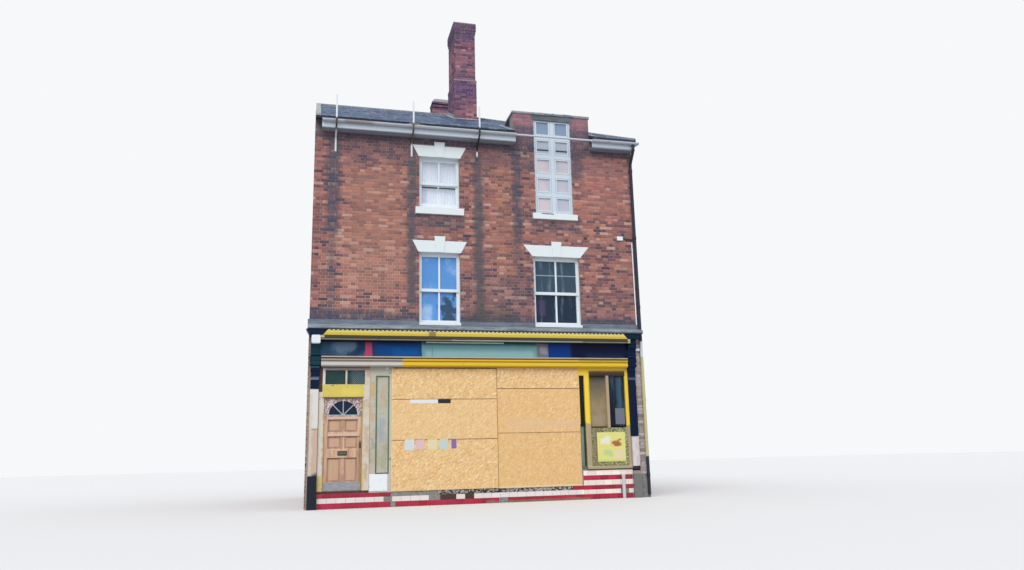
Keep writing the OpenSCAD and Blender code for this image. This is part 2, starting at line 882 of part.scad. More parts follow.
// Lead-faced timber lintel over the tall window
module tall_lintel(clear) {
    z0 = second_sill_z + tall_window_h;
    half = tall_window_w / 2 + 60 + clear;
    back_y = tall_recess + tall_frame_d + 120 + clear;
    block(right_window_x - half, right_window_x + half, clear > 0 ? -1 : -8, back_y, z0,
        dormer_top_z + (clear > 0 ? 1 : 0));
}

module window_glass() {
    color("lightsteelblue") facade() {
        pane_glass(sash_panes(left_window_x, left_window_w, first_sill_z, first_window_h));
        pane_glass(sash_panes(right_window_x, right_window_w, first_sill_z, first_window_h));
        pane_glass(sash_panes(left_window_x, left_window_w, second_sill_z, second_window_h));
        pane_glass(tall_panes());
        yard() for (x = rear_window_xs) {
            pane_glass(sash_panes(x, rear_window_w, rear_shop_sill_z, first_window_h));
            pane_glass(sash_panes(x, rear_window_w, first_sill_z, first_window_h));
            pane_glass(sash_panes(x, rear_window_w, second_sill_z, second_window_h));
        }
    }
}

// Net hung on a rod between the reveals
module net_curtain() {
    y = window_recess + box_d + 40;
    x0 = left_window_x - left_window_w / 2;
    x1 = left_window_x + left_window_w / 2;
    rod_z = second_sill_z + second_window_h - 60;
    color("white") facade() {
        block(x0 + 20, x1 - 20, y, y + 30, second_sill_z + 60, rod_z + 20);
        translate([x0 + fit, y + 15, rod_z]) rotate([0, 90, 0])
            cylinder(r = 8, h = left_window_w - 2 * fit);
    }
}

// Shopfront head

module lead_flashing() {
    color("lightslategray") facade() {
        difference() {
            along_x(lead_x0, lead_x1) polygon([
                [-fit, lead_top_z], [-lead_t, lead_top_z], [-lead_t, lead_back_z],
                [-lead_out, lead_front_z], [-lead_out, lead_drip_z],
                [-lead_out + lead_t, lead_drip_z],
                [-lead_out + lead_t, lead_front_z - lead_t], [-fit, lead_back_z - lead_t]
            ]);
            for (w = [[left_window_x, left_window_w], [right_window_x, right_window_w]])
                block(w[0] - w[1] / 2, w[0] + w[1] / 2, -nosing_out - 10, 0, first_sill_z - fit,
                    lead_top_z + 1);
        }
        tall_lintel(0);
    }
}

// Crown board under the lead, and the boxed body between the console caps
module cornice() {
    body_x0 = left_pilaster_x + cap_top_w / 2 + fit;
    body_x1 = right_pilaster_x - cap_top_w / 2 - fit;
    color("midnightblue") facade() {
        along_x(lead_x0, lead_x1) polygon([
            [-fit, awning_top_z + fit], [-lead_out + lead_t + fit, awning_top_z + fit],
            [-lead_out + lead_t + fit, lead_front_z - lead_t - 2], [-fit, lead_back_z - lead_t - fit]
        ]);
        block(body_x0, body_x1, -cornice_out, -fit, fascia_top_z + fit, awning_top_z + 1);
    }
}

module awning_box() {
    slant = 115;
    x0 = left_pilaster_x + cap_foot_w / 2 + fit;
    x1 = right_pilaster_x - cap_foot_w / 2 - fit;
    color("gold") facade() along_y(-awning_out, -cornice_out - fit) polygon([
        [x0, awning_z + fit], [x1, awning_z + fit], [x1 - slant, awning_top_z], [x0 + slant, awning_top_z]
    ]);
}

module awning_rail() {
    lap = 34;
    x0 = left_pilaster_x + alarm_half + fit;
    color("saddlebrown") facade()
        block(x0, fascia_x1 + lap, -awning_out + 10, -cornice_out - fit, fascia_top_z + 8, awning_z);
}

module fascia_board() {
    color("teal") facade()
        block(fascia_x0, fascia_x1, -fascia_out, -fit, moulding_top_z + fit, fascia_top_z);
}

// Undercut foot, plain band, hollow, quarter round, recess and lip, from the bottom up
module fascia_moulding() {
    z0 = shop_head_z;
    z1 = moulding_top_z;
    band_out = 178;
    hollow_r = 20;
    round_r = 34;
    neck_out = band_out - hollow_r;
    lip_h = 26;
    step_up = 22;
    hollow_up = 88;
    round_up = 112;
    neck_up = 162;
    color("gold") facade() along_x(moulding_x0, moulding_x1) polygon(concat(
        [[-fit, z0], [-neck_out, z0], [-neck_out, z0 + step_up], [-band_out, z0 + step_up]],
        arc(-band_out, z0 + hollow_up + hollow_r, hollow_r, -90, 0),
        arc(-neck_out, z0 + round_up + round_r, round_r, 270, 180),
        [[-neck_out - round_r, z0 + neck_up], [-neck_out, z0 + neck_up], [-neck_out, z1 - lip_h],
            [-band_out - hollow_r, z1 - lip_h], [-band_out - hollow_r, z1], [-fit, z1]]
    ));
}

// Pilasters and consoles

module pilaster(x, base_z) {
    half = pilaster_w / 2;
    capital_z = moulding_top_z - capital_h;
    neck_z = capital_z - 130;
    block(x - half, x + half, -pilaster_out, -fit, base_z, capital_z);
    block(x - half - base_spread, x + half + base_spread, -pilaster_out - 25, -fit, 0, base_z);
    moulded(x, half, pilaster_out, arc(0, neck_z, 14, -90, 90));
    moulded(x, half, pilaster_out, concat(
        arc(0, capital_z + 16, 16, -90, 90),
        [[4, capital_z + 32]],
        arc(4, capital_z + 144, 34, -90, 0),
        [[38, capital_z + 160], [26, capital_z + 160], [26, capital_z + 240], [38, capital_z + 240],
            [38, moulding_top_z]]));
}

module pilasters() {
    color("black") facade() difference() {
        union() {
            pilaster(left_pilaster_x, left_pilaster_base);
            pilaster(right_pilaster_x, right_pilaster_base);
        }
        // The neck and the capital stop against the frames between the pilasters
        block(frame_x0 - fit, frame_x1 + fit, frame_y - fit, frame_back_y, door_plinth_z,
            shop_head_z + fit);
    }
}

// Front of a console above its foot: a roll, a long hollow and a larger roll at the top
function console_front(shift) =
    [for (i = [0 : 8]) let (a = 90 * i / 8)
        [-hollow_out - (console_out - hollow_out) * (1 - cos(a)) + shift,
            moulding_top_z + 88 + 175 * sin(a)]];

module console(x) {
    z0 = moulding_top_z + fit;
    half = console_w / 2;
    sunk = 10;
    difference() {
        along_x(x - half, x + half) polygon(concat(
            [[-fit, z0], [-hollow_out + 30, z0]],
            arc(-hollow_out + 20, z0 + 43, 43, -90, -250),
            console_front(0),
            arc(-console_out + 42, z0 + 309, 42, 215, 112),
            [[-cornice_out + 1, awning_z], [-fit, awning_z]]
        ));
        // A sunk panel with a raised middle down the hollow of the face
        difference() {
            along_x(x - half + 28, x + half - 28) polygon(concat(
                [[-awning_out, moulding_top_z + 100]], console_front(sunk),
                [[-awning_out, moulding_top_z + 262]]));
            block(x - 26, x + 26, -awning_out, 0, z0, awning_z);
        }
    }
    along_y(-awning_out + 5, -fit) polygon([
        [x - cap_foot_w / 2, awning_z], [x + cap_foot_w / 2, awning_z],
        [x + cap_top_w / 2, awning_top_z], [x - cap_top_w / 2, awning_top_z]
    ]);
}

module consoles() {
    color("midnightblue") facade() {
        console(left_pilaster_x);
        console(right_pilaster_x);
    }
}

// Door bay

hinge_x = door_x - door_gap / 2;
hinge_y = door_t + door_gap;
hinge_r = 7;
hinge_half = 50;
hinge_zs = [door_z + 220, door_z + 950, door_z + 1680];

// Knuckles of the butt hinges: the frame's are the lower halves, the leaf's the upper
module knuckles(upper, r, clear) {
    for (z = hinge_zs)
        translate([hinge_x, hinge_y, z + (upper ? hinge_half : 0) - clear])
            cylinder(r = r, h = hinge_half - fit + 2 * clear);
}

transom_up = 2310;
transom_z = door_z + transom_up;
transom_h = 320;
transom_lights = [[door_x + 10, door_x + 450], [door_x + 490, door_end_x + 50]];

module door_frame() {
    color("tan") facade() difference() {
        union() {
            block(frame_x0, door_post_x, frame_y, frame_back_y, door_plinth_z, shop_head_z);
            knuckles(false, hinge_r, 0);
        }
        knuckles(true, hinge_r + 1, 1);
        difference() {
            block(door_x - door_gap, door_end_x + door_gap, frame_y - 1, frame_back_y + 1,
                threshold_z, door_head_z);
            knuckles(false, hinge_r, 0);
        }
        for (x = transom_lights)
            block(x[0], x[1], frame_y - 1, frame_back_y + 1, transom_z, transom_z + transom_h);
    }
}

// Sunk panel with a raised middle field
module panel_recess(x0, x1, z0, z1) {
    border = 32;
    difference() {
        block(x0, x1, -1, panel_sink, z0, z1);
        block(x0 + border, x1 - border, -2, panel_sink + 1, z0 + border, z1 - border);
    }
    block(x0 + border - 1, x1 - border + 1, -1, 4, z0 + border - 1, z1 - border + 1);
}

// Half-round light between four spokes that meet at a hub
module fan_light(y0, y1, clear) {
    spoke_w = 22;
    hub_r = 42;
    along_y(y0, y1) translate([door_x + door_w / 2, fan_z]) difference() {
        intersection() {
            circle(r = fan_r - clear, $fn = 64);
            translate([-fan_r, 12 + clear]) square([2 * fan_r, fan_r]);
        }
        circle(r = hub_r + clear);
        for (a = [45, 90, 135])
            rotate(a) translate([0, -spoke_w / 2 - clear]) square([fan_r + 10, spoke_w + 2 * clear]);
    }
}

// Board across the leaf with a sloping top that throws off water
module leaf_rail(x1, z0, z1) {
    along_x(door_x + 90, door_x + x1) polygon([
        [1, z0], [-14, z0], [-18, z0 + 6], [-18, z1 - 14], [-8, z1], [1, z1]
    ]);
}

fan_z = door_z + 1630;
fan_r = 315;
panel_xs = [[door_x + 90, door_x + 370], [door_x + 460, door_x + 730]];
panel_zs = [[door_z + 190, door_z + 695], [door_z + 905, door_z + 1160], [door_z + 1265, door_z + 1525]];

module door_leaf() {
    color("burlywood") facade() difference() {
        union() {
            block(door_x, door_end_x, 0, door_t, door_z, door_z + door_h);
            leaf_rail(730, door_z + 1530, door_z + 1600);
            leaf_rail(780, door_z + 1165, door_z + 1260);
            leaf_rail(720, door_z + 700, door_z + 895);
            knuckles(true, hinge_r, 0);
        }
        knuckles(false, hinge_r + 1, 1);
        for (z = panel_zs, x = panel_xs)
            panel_recess(x[0], x[1], z[0], z[1]);
        fan_light(-1, door_t + 1, 0);
    }
}

module door_fanlight() {
    color("midnightblue") facade() fan_light(door_t / 2 - glass_t / 2, door_t / 2 + glass_t / 2, fit);
}

// Kick plate, letter plate, lock with its key plate
module door_fittings() {
    color("silver") facade() {
        block(door_x + 10, door_end_x - 10, -3, -fit, door_z + 5, door_z + 180);
        block(door_x + 312, door_x + 512, -26, -18 - fit, door_z + 752, door_z + 848);
        block(door_end_x - 55, door_end_x - 15, -4, -fit, door_z + 905, door_z + 1035);
        translate([door_end_x - 35, -4 - fit, door_z + 970]) rotate([90, 0, 0]) cylinder(r = 16, h = 10);
    }
}

module side_panel() {
    face_y = -20;
    back_y = 20;
    white_board_t = 10;
    color("gray") facade() {
        block(door_post_x + fit, boarding_x - fit, face_y, back_y, door_plinth_z, shop_head_z);
        block(door_post_x + 20, boarding_x - 80, face_y - white_board_t, face_y - fit,
            door_plinth_z + 30, door_plinth_z + 390);
    }
}

// Shop windows

corner_post_x = boarding_end_x + 150;
corner_open_x = corner_post_x + 130;
corner_open_end = frame_x1 - 80;
corner_bar = [corner_open_end - 490, corner_open_end - 420];
corner_sill_z = stallriser_z + 80;
corner_rail_z = corner_sill_z + 920;
head_bar_h = 75;
open_top_z = shop_head_z - head_bar_h;
corner_top_z = open_top_z - 110;
sill_out = 80;
shop_glass_y = frame_y + 55;

module shop_window_frame() {
    color("olive") facade() difference() {
        union() {
            block(boarding_x + fit, frame_x1, frame_y, frame_back_y, stallriser_z, shop_head_z);
            along_x(corner_post_x, frame_x1) polygon([
                [frame_y + 1, stallriser_z], [-sill_out + 10, stallriser_z],
                [-sill_out, stallriser_z + 12], [-sill_out, corner_sill_z - 22],
                [frame_y + 1, corner_sill_z]
            ]);
        }
        for (x = [[boarding_x + 90, boarding_seam_x - 50], [boarding_seam_x + 50, boarding_end_x - 60]])
            block(x[0], x[1], frame_y - 1, frame_back_y + 1, corner_sill_z, open_top_z);
        for (x = [[boarding_end_x + 20, corner_post_x], [corner_open_x, corner_bar[0]],
                [corner_bar[1], corner_open_end]])
            block(x[0], x[1], frame_y - 1, frame_back_y + 1, corner_sill_z, corner_top_z);
    }
}

module shop_pane(x0, x1, z0, z1) {
    block(x0 + fit, x1 - fit, shop_glass_y, shop_glass_y + glass_t, z0 + fit, z1 - fit);
}

module shop_glass() {
    color("darkslategray") facade() {
        shop_pane(corner_bar[1], corner_open_end, corner_rail_z, corner_top_z);
        shop_pane(boarding_end_x + 20, corner_post_x, corner_sill_z, corner_top_z);
        for (x = transom_lights)
            shop_pane(x[0], x[1], transom_z, transom_z + transom_h);
    }
}

module boarding() {
    y1 = frame_y - fit;
    seam = 3;
    left_rows = [boarding_z + 10, boarding_z + 1120, boarding_z + 2030, shop_head_z - 15];
    right_rows = [boarding_z, boarding_z + 1240, boarding_z + 2270, shop_head_z - 5];
    color("burlywood") facade() {
        for (i = [0 : 2]) {
            block(boarding_x, boarding_seam_x - seam, y1 - board_t, y1, left_rows[i], left_rows[i + 1] - seam);
            block(boarding_seam_x, boarding_end_x, y1 - board_t, y1, right_rows[i],
                right_rows[i + 1] - seam);
        }
    }
}

// Board behind the left light of the corner bay, and the painted panel under both lights
module window_panels() {
    board_y = shop_glass_y - 5;
    color("brown") facade() {
        block(corner_open_x + fit, corner_bar[0] - fit, board_y, board_y + 15, corner_rail_z,
            corner_top_z - fit);
        block(corner_open_x + fit, corner_open_end - fit, frame_y - 16, frame_y - fit,
            corner_sill_z + fit, corner_rail_z - 30);
    }
}

// Brick plinths faced with tiles, under the shop windows and under the door
module tiled_base() {
    color("crimson") facade() {
        block(boarding_x + fit, frame_x1, frame_y, frame_back_y, 0, stallriser_z);
        block(frame_x0, boarding_x, frame_y, frame_back_y, 0, door_plinth_z);
    }
}

// Pipes and fittings

pipe_x = house_w - 45;
pipe_y = -pipe_r - 8;
pipe_foot_z = 60;
neck_foot_z = soffit_z - 310;
neck_top_z = soffit_z - 10;

// A round pipe from one point to another with a round elbow at its start
module pipe_run(from, to, r) {
    elbow_t = 5;
    run = to - from;
    translate(from) rotate([0, acos(run[2] / norm(run)), atan2(run[1], run[0])])
        cylinder(r = r, h = norm(run));
    translate(from) sphere(r = r + elbow_t);
}

// Downpipe with socket collars and ear brackets, and a swan neck up to the gutter
module downpipe() {
    neck_foot = [pipe_x, pipe_y, neck_foot_z];
    neck_top = [pipe_x, gutter_y, neck_top_z];
    ear_zs = [500, 2300, 4600, 6400, soffit_z - 530];
    color("black") facade() {
        translate([pipe_x, pipe_y, pipe_foot_z]) cylinder(r = pipe_r, h = neck_foot_z - pipe_foot_z);
        pipe_run(neck_foot, neck_top, pipe_r);
        pipe_run(neck_top, [pipe_x, gutter_y, gutter_z - gutter_r - fit], pipe_r);
        for (z = ear_zs) {
            block(pipe_x - pipe_r - 6, pipe_x + pipe_r - 10, pipe_y, -fit, z, z + 40);
            translate([pipe_x, pipe_y, z - 20]) cylinder(r = pipe_r + 6, h = 80);
        }
    }
}

// Small fittings fixed to the front
module wall_fittings() {
    alarm_h = 190;
    alarm_d = 80;
    alarm_r = 30;
    alarm_x0 = left_pilaster_x - alarm_half + alarm_r;
    alarm_x1 = left_pilaster_x + alarm_half - alarm_r;
    alarm_z0 = awning_z - fit - alarm_h + alarm_r;
    alarm_z1 = awning_z - fit - alarm_r;
    color("white") facade() {
        // Alarm box with rounded corners on the roll of the left console, under its cap
        along_y(-console_out - alarm_d, -console_out - fit) polygon(concat(
            arc(alarm_x1, alarm_z1, alarm_r, 0, 90, 4), arc(alarm_x0, alarm_z1, alarm_r, 90, 180, 4),
            arc(alarm_x0, alarm_z0, alarm_r, 180, 270, 4), arc(alarm_x1, alarm_z0, alarm_r, 270, 360, 4)
        ));
        // Wiring box with its conduit, which drops down the brickwork to the lead
        block(house_w - 520, house_w - 370, -50, -fit, conduit_z - 30, conduit_z + 70);
        block(house_w - 370, house_w - 105, -25, -fit, conduit_z, conduit_z + 30);
        translate([house_w - 120, -18, lead_top_z + fit]) cylinder(r = 15, h = conduit_z - lead_top_z);
        // Lamp on the corner pier
        block(house_w - 200, house_w - 100, -60, -fit, moulding_top_z + 200, moulding_top_z + 260);
        // Sensor at the head of the panel beside the door
        block(boarding_x - 130, boarding_x - 80, -50, -20 - fit, shop_head_z - 60, shop_head_z - 10);
        // Capped vent pipe in front of the tiles
        translate([house_w - 708, frame_y - vent_cap_r - fit, 0]) {
            cylinder(r = vent_r, h = 520);
            translate([0, 0, 500]) cylinder(r = vent_cap_r, h = 55);
        }
    }
}

conduit_z = second_floor_z + 20;
vent_r = 40;
vent_cap_r = vent_r + 7;

ground_floor();
first_floor();
second_floor();
party_wall();
gable_wall();
rear_wall();
front_wall();
corner_pier();
shop_beam();
front_roof();
rear_roof();
ridge_tiles();
verge_kerb();
dormer_cheeks();
dormer_flat();
main_chimney();
rear_chimney();
eaves_boxes();
gutters();
eaves_posts();
window_arches();
window_sills();
sash_windows();
tall_window();
window_glass();
net_curtain();
lead_flashing();
cornice();
awning_box();
awning_rail();
fascia_board();
fascia_moulding();
pilasters();
consoles();
door_frame();
door_leaf();
door_fanlight();
door_fittings();
side_panel();
shop_window_frame();
shop_glass();
boarding();
window_panels();
tiled_base();
downpipe();
wall_fittings();
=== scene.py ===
import math
import random

import bmesh
import bpy
from mathutils import Matrix, Vector


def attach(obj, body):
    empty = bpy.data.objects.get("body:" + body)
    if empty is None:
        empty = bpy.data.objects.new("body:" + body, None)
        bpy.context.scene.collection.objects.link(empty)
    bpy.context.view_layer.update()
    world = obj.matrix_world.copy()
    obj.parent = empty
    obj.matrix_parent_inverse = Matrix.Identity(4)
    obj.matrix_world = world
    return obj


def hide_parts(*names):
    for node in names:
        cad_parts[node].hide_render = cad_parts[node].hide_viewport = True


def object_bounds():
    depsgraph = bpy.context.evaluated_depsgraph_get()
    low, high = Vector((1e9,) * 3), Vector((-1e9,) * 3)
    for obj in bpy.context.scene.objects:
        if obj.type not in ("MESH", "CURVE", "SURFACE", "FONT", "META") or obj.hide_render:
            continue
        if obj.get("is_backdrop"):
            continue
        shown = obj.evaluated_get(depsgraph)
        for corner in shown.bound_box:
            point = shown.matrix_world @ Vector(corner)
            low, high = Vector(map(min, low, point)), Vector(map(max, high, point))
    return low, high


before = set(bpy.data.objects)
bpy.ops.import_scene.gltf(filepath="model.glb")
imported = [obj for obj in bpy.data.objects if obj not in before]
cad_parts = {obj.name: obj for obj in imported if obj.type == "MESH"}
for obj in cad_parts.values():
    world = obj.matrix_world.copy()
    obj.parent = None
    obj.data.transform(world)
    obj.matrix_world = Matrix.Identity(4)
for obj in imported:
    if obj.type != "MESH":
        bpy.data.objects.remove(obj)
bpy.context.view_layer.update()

random.seed(11)


# Viewpoint
# From across the street at eye height, straight in front of the party wall, turned to the
# right and up.

eye = (-4.025, -21.8, 0.98)
yaw, pitch, roll = (math.radians(a) for a in (14.6, 12.35, -1.41))


def in_scene(name, data):
    """A new object in the scene for this mesh, lens or lamp"""
    made = bpy.data.objects.new(name, data)
    bpy.context.scene.collection.objects.link(made)
    return made


ahead = Vector((math.sin(yaw) * math.cos(pitch), math.cos(yaw) * math.cos(pitch), math.sin(pitch)))
level = Vector((math.cos(yaw), -math.sin(yaw), 0))
upright = level.cross(ahead)
across = math.cos(roll) * level + math.sin(roll) * upright
upward = math.cos(roll) * upright - math.sin(roll) * level
lens = bpy.data.cameras.new("viewpoint")
lens.lens, lens.sensor_width, lens.clip_end = 27.84, 36, 300
viewpoint = in_scene("viewpoint", lens)
viewpoint.matrix_world = Matrix.Translation(eye) @ Matrix((across, upward, -ahead)).transposed().to_4x4()
bpy.context.scene.camera = viewpoint


# Brick walls
# Handmade red bricks in Flemish bond, 75 mm to a course, laid in lime mortar. Rain from the
# gutters and the steel posts has left blue-black streaks down the street front. Shade under the
# eaves, under two sills and down the right corner is painted on in the same blue-black.

house_w, house_d = 8.05, 7.2
half_w, half_d = house_w / 2, house_d / 2
brick_l, header_l, brick_h, joint = 0.215, 0.1025, 0.065, 0.010
bond_lap, least_cut, past_corner = 0.16875, 0.03, 0.004
lean = math.radians(27.8)
eaves_z, slope = 9.144, math.tan(lean)


def feed(tree, socket, value):
    """Links a socket to another or sets its value; a colour may come without its alpha"""
    if isinstance(value, bpy.types.NodeSocket):
        tree.links.new(value, socket)
    elif socket.type == "RGBA" and len(value) == 3:
        socket.default_value = (*value, 1)
    else:
        socket.default_value = value


def add(tree, kind, inputs=(), **settings):
    """A node of that kind with its settings, and its inputs set or linked"""
    made = tree.nodes.new(kind)
    for label, value in settings.items():
        setattr(made, label, value)
    for label, value in dict(inputs).items():
        feed(tree, made.inputs[label], value)
    return made


def placed(tree, group, inputs):
    """The outputs of a group that is placed in a material with its own values"""
    return add(tree, "ShaderNodeGroup", inputs, node_tree=group).outputs


def maths(tree, operation, a, b=0.0):
    """A function of one or two values"""
    return add(tree, "ShaderNodeMath", {0: a, 1: b}, operation=operation).outputs[0]


def times(tree, a, b):
    """The product of two values"""
    return maths(tree, "MULTIPLY", a, b)


def plus(tree, a, b):
    """The sum of two values"""
    return maths(tree, "ADD", a, b)


def minus(tree, a, b):
    """What is left of a when b is taken off it"""
    return maths(tree, "SUBTRACT", a, b)


def mixed(tree, factor, a, b):
    """Colour a where the factor is 0, and colour b where it is 1"""
    return add(tree, "ShaderNodeMix", {0: factor, 6: a, 7: b}, data_type="RGBA").outputs[2]


def between(tree, value, low, high, from_value=0.0, to_value=1.0):
    """A value that eases from one number to another while the given one goes from low to high"""
    inputs = {0: value, 1: low, 2: high, 3: from_value, 4: to_value}
    return add(tree, "ShaderNodeMapRange", inputs, interpolation_type="SMOOTHSTEP").outputs[0]


def blended(tree, value, low, high, dark, light):
    """The dark colour up to the low value and the light one from the high value"""
    return mixed(tree, between(tree, value, low, high), dark, light)


def colours(tree, factor, stops):
    """A colour that runs over stops of a place from 0 to 1 and a colour"""
    made = add(tree, "ShaderNodeValToRGB", {0: factor})
    ramp = made.color_ramp.elements
    ramp[0].position, ramp[0].color = stops[0][0], (*stops[0][1], 1)
    ramp[1].position, ramp[1].color = stops[-1][0], (*stops[-1][1], 1)
    for place, colour in stops[1:-1]:
        ramp.new(place).color = (*colour, 1)
    return made.outputs[0]


def noise(tree, where, scale, detail=4.0, roughness=0.55, distortion=0.0):
    """Cloudy values from 0 to 1"""
    inputs = {"Vector": where, "Scale": scale, "Detail": detail, "Roughness": roughness,
              "Distortion": distortion}
    return add(tree, "ShaderNodeTexNoise", inputs).outputs[0]


def stretched(tree, where, scale, turn=(0, 0, 0), shift=(0, 0, 0)):
    """Coordinates that are scaled, turned and shifted"""
    inputs = {"Vector": where, "Scale": scale, "Rotation": turn, "Location": shift}
    return add(tree, "ShaderNodeMapping", inputs).outputs[0]


def parts_of(tree, where):
    """The x, y and z of coordinates, or the red, green and blue of a colour"""
    return add(tree, "ShaderNodeSeparateXYZ", {0: where}).outputs


def attribute(tree, name):
    """A number that each copy of a template brings along"""
    return add(tree, "ShaderNodeAttribute", attribute_name=name).outputs["Fac"]


def effect(name, takes, gives):
    """A shader node group and its inner sockets: takes maps input names to their values"""
    tree = bpy.data.node_groups.new(name, "ShaderNodeTree")
    for label, value in takes.items():
        kind = "Float" if isinstance(value, float) else "Color" if len(value) == 4 else "Vector"
        made = tree.interface.new_socket(name=label, in_out="INPUT", socket_type="NodeSocket" + kind)
        made.default_value = value
    for label, kind in gives.items():
        tree.interface.new_socket(name=label, in_out="OUTPUT", socket_type="NodeSocket" + kind)
    given = tree.nodes.new("NodeGroupInput").outputs
    out = tree.nodes.new("NodeGroupOutput").inputs
    where = tree.nodes.new("ShaderNodeTexCoord").outputs["Object"]
    return tree, given, out, where


def new_material(name, metallic=0.0, specular=0.14):
    """A material, its node tree and the coordinates in it"""
    made = bpy.data.materials.new(name)
    made.use_nodes = True
    surface = made.node_tree.nodes["Principled BSDF"]
    surface.inputs["Metallic"].default_value = metallic
    surface.inputs["Specular IOR Level"].default_value = specular
    return made, made.node_tree, made.node_tree.nodes.new("ShaderNodeTexCoord").outputs["Object"]


def finished(made, colour, roughness, height=None, depth=0.002):
    """The material with its shader fed; where height is 1 the surface stands depth metres up"""
    tree = made.node_tree
    surface = tree.nodes["Principled BSDF"].inputs
    feed(tree, surface["Base Color"], colour)
    feed(tree, surface["Roughness"], roughness)
    if height is not None:
        bump = add(tree, "ShaderNodeBump", {"Height": height, "Distance": depth, "Strength": 1.0})
        tree.links.new(bump.outputs[0], surface["Normal"])
    return made


def dress(made, *nodes):
    """Gives solids of the frame this material"""
    for name in nodes:
        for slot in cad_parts[name].material_slots:
            slot.material = made


def piece(name, shape, made, body="shop", smooth=False):
    """A finished piece from a bmesh or mesh, at the origin, on its body"""
    mesh = shape
    if isinstance(shape, bmesh.types.BMesh):
        mesh = bpy.data.meshes.new(name)
        shape.to_mesh(mesh)
        shape.free()
    mesh.name = name
    mesh.materials.clear()
    mesh.materials.append(made)
    for face in mesh.polygons:
        face.use_smooth = smooth
    part = in_scene(name, mesh)
    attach(part, body)
    return part


# A patch between two heights and two distances from the party wall, with soft, wandering edges
patch, given, out, where = effect(
    "Patch", {"Left": 0.0, "Right": 1.0, "Bottom": 0.0, "Top": 1.0, "Edge": 0.01, "Wander": 0.0},
    {"Mask": "Float"})
drift = times(patch, minus(patch, noise(patch, where, 3.5, 5.0, 0.6), 0.5), given["Wander"])
place = parts_of(patch, where)
x = plus(patch, plus(patch, place[0], half_w), drift)
z = plus(patch, place[2], drift)
mask = None
for value, low, high in ((x, "Left", "Right"), (z, "Bottom", "Top")):
    for limit, rising in ((low, True), (high, False)):
        start = minus(patch, given[limit], given["Edge"])
        end = plus(patch, given[limit], given["Edge"])
        side = between(patch, value, start, end, 0.0 if rising else 1.0, 1.0 if rising else 0.0)
        mask = side if mask is None else times(patch, mask, side)
patch.links.new(mask, out["Mask"])


def patch_mask(tree, left, right, bottom, top, edge=0.008, wander=0.0):
    """1 between the limits, which are given from the party corner, and 0 outside them"""
    return placed(tree, patch, {"Left": left, "Right": right, "Bottom": bottom, "Top": top,
                                "Edge": edge, "Wander": wander})["Mask"]


# Dirt in blotches: Amount 0 leaves the surface clean, and 1 covers nearly all of it
grime, given, out, where = effect(
    "Grime", {"Color": (0.5, 0.5, 0.5, 1.0), "Dirt": (0.05, 0.05, 0.05, 1.0), "Amount": 0.3,
              "Scale": 2.0},
    {"Color": "Color", "Mask": "Float"})
spread = noise(grime, where, given["Scale"], 9.0, 0.68)
low = between(grime, given["Amount"], 0.0, 1.0, 0.70, 0.30)
mask = between(grime, spread, low, plus(grime, low, 0.22))
mask = times(grime, mask, 0.85)
grime.links.new(mixed(grime, mask, given["Color"], given["Dirt"]), out["Color"])
grime.links.new(mask, out["Mask"])

# Streaks that run down the street front and soot over the lead, with painted shade under the eaves,
# under two sills and down the right corner. Each has its limits from the party wall, its foot and
# its head, its strength and how soft it is.
street_soot_and_shade, given, out, where = effect("Street streaks and painted shade", {"Strength": 1.0}, {"Mask": "Float"})
total = None
# Painted shade: the right corner (7.95 to 8.20), under the eaves (8.54 to 9.3, and 8.1 to 8.6) and under two
# sills (6.45 to 6.82)
for *limits, strength, edge in (
        (0.30, 0.60, 6.2, 8.9, 0.8, 0.07), (0.36, 0.56, 4.3, 6.3, 0.5, 0.07),
        (2.19, 2.41, 4.6, 8.45, 0.72, 0.06), (3.82, 4.04, 4.3, 8.45, 0.78, 0.07),
        (4.82, 5.04, 6.1, 8.9, 0.8, 0.07), (4.86, 5.0, 4.3, 6.2, 0.4, 0.07),
        (7.95, 8.20, 4.2, 8.8, 0.6, 0.07), (-0.3, 8.3, 8.54, 9.3, 0.75, 0.09),
        (-0.3, 8.3, 3.9, 4.34, 0.9, 0.13), (2.40, 3.56, 6.45, 6.80, 0.6, 0.12),
        (5.25, 6.55, 6.48, 6.82, 0.45, 0.12), (6.35, 6.72, 7.9, 9.0, 0.7, 0.12),
        (5.05, 5.44, 8.0, 9.0, 0.5, 0.12), (4.8, 7.0, 9.0, 9.8, 0.15, 0.1),
        (0.6, 8.2, 8.1, 8.6, 0.3, 0.3), (6.5, 8.2, 3.9, 5.0, 0.2, 0.25),
        (3.5, 5.3, 3.9, 5.3, 0.35, 0.3), (-0.3, 1.7, 3.9, 4.42, 0.85, 0.06)):
    mask = patch_mask(street_soot_and_shade, *limits, edge, edge * 1.6)
    mask = times(street_soot_and_shade, mask, strength)
    total = mask if total is None else maths(street_soot_and_shade, "MAXIMUM", total, mask)
streaks = noise(street_soot_and_shade, stretched(street_soot_and_shade, where, (9, 9, 2.2)), 2.0, 7.0, 0.7)
total = times(street_soot_and_shade, total, between(street_soot_and_shade, streaks, 0.25, 0.58, 0.35, 1.0))
street_soot_and_shade.links.new(times(street_soot_and_shade, total, given["Strength"]), out["Mask"])


def patched(tree, colour, paint, left, right, bottom, top, edge=0.008, wander=0.0, strength=1.0):
    """The colour with a patch of another one on it"""
    mask = patch_mask(tree, left, right, bottom, top, edge, wander)
    if strength < 1:
        mask = times(tree, mask, strength)
    return mixed(tree, mask, colour, paint)


def marked(tree, colour, marks):
    """The colour with patches: each has its colour, its limits, its edge, wander and strength"""
    for paint, *limits in marks:
        colour = patched(tree, colour, paint, *limits)
    return colour


def dirtied(tree, colour, dirt, amount, scale):
    """The colour with blotches of dirt on it"""
    inputs = {"Color": colour, "Dirt": dirt, "Amount": amount, "Scale": scale}
    return placed(tree, grime, inputs)["Color"]


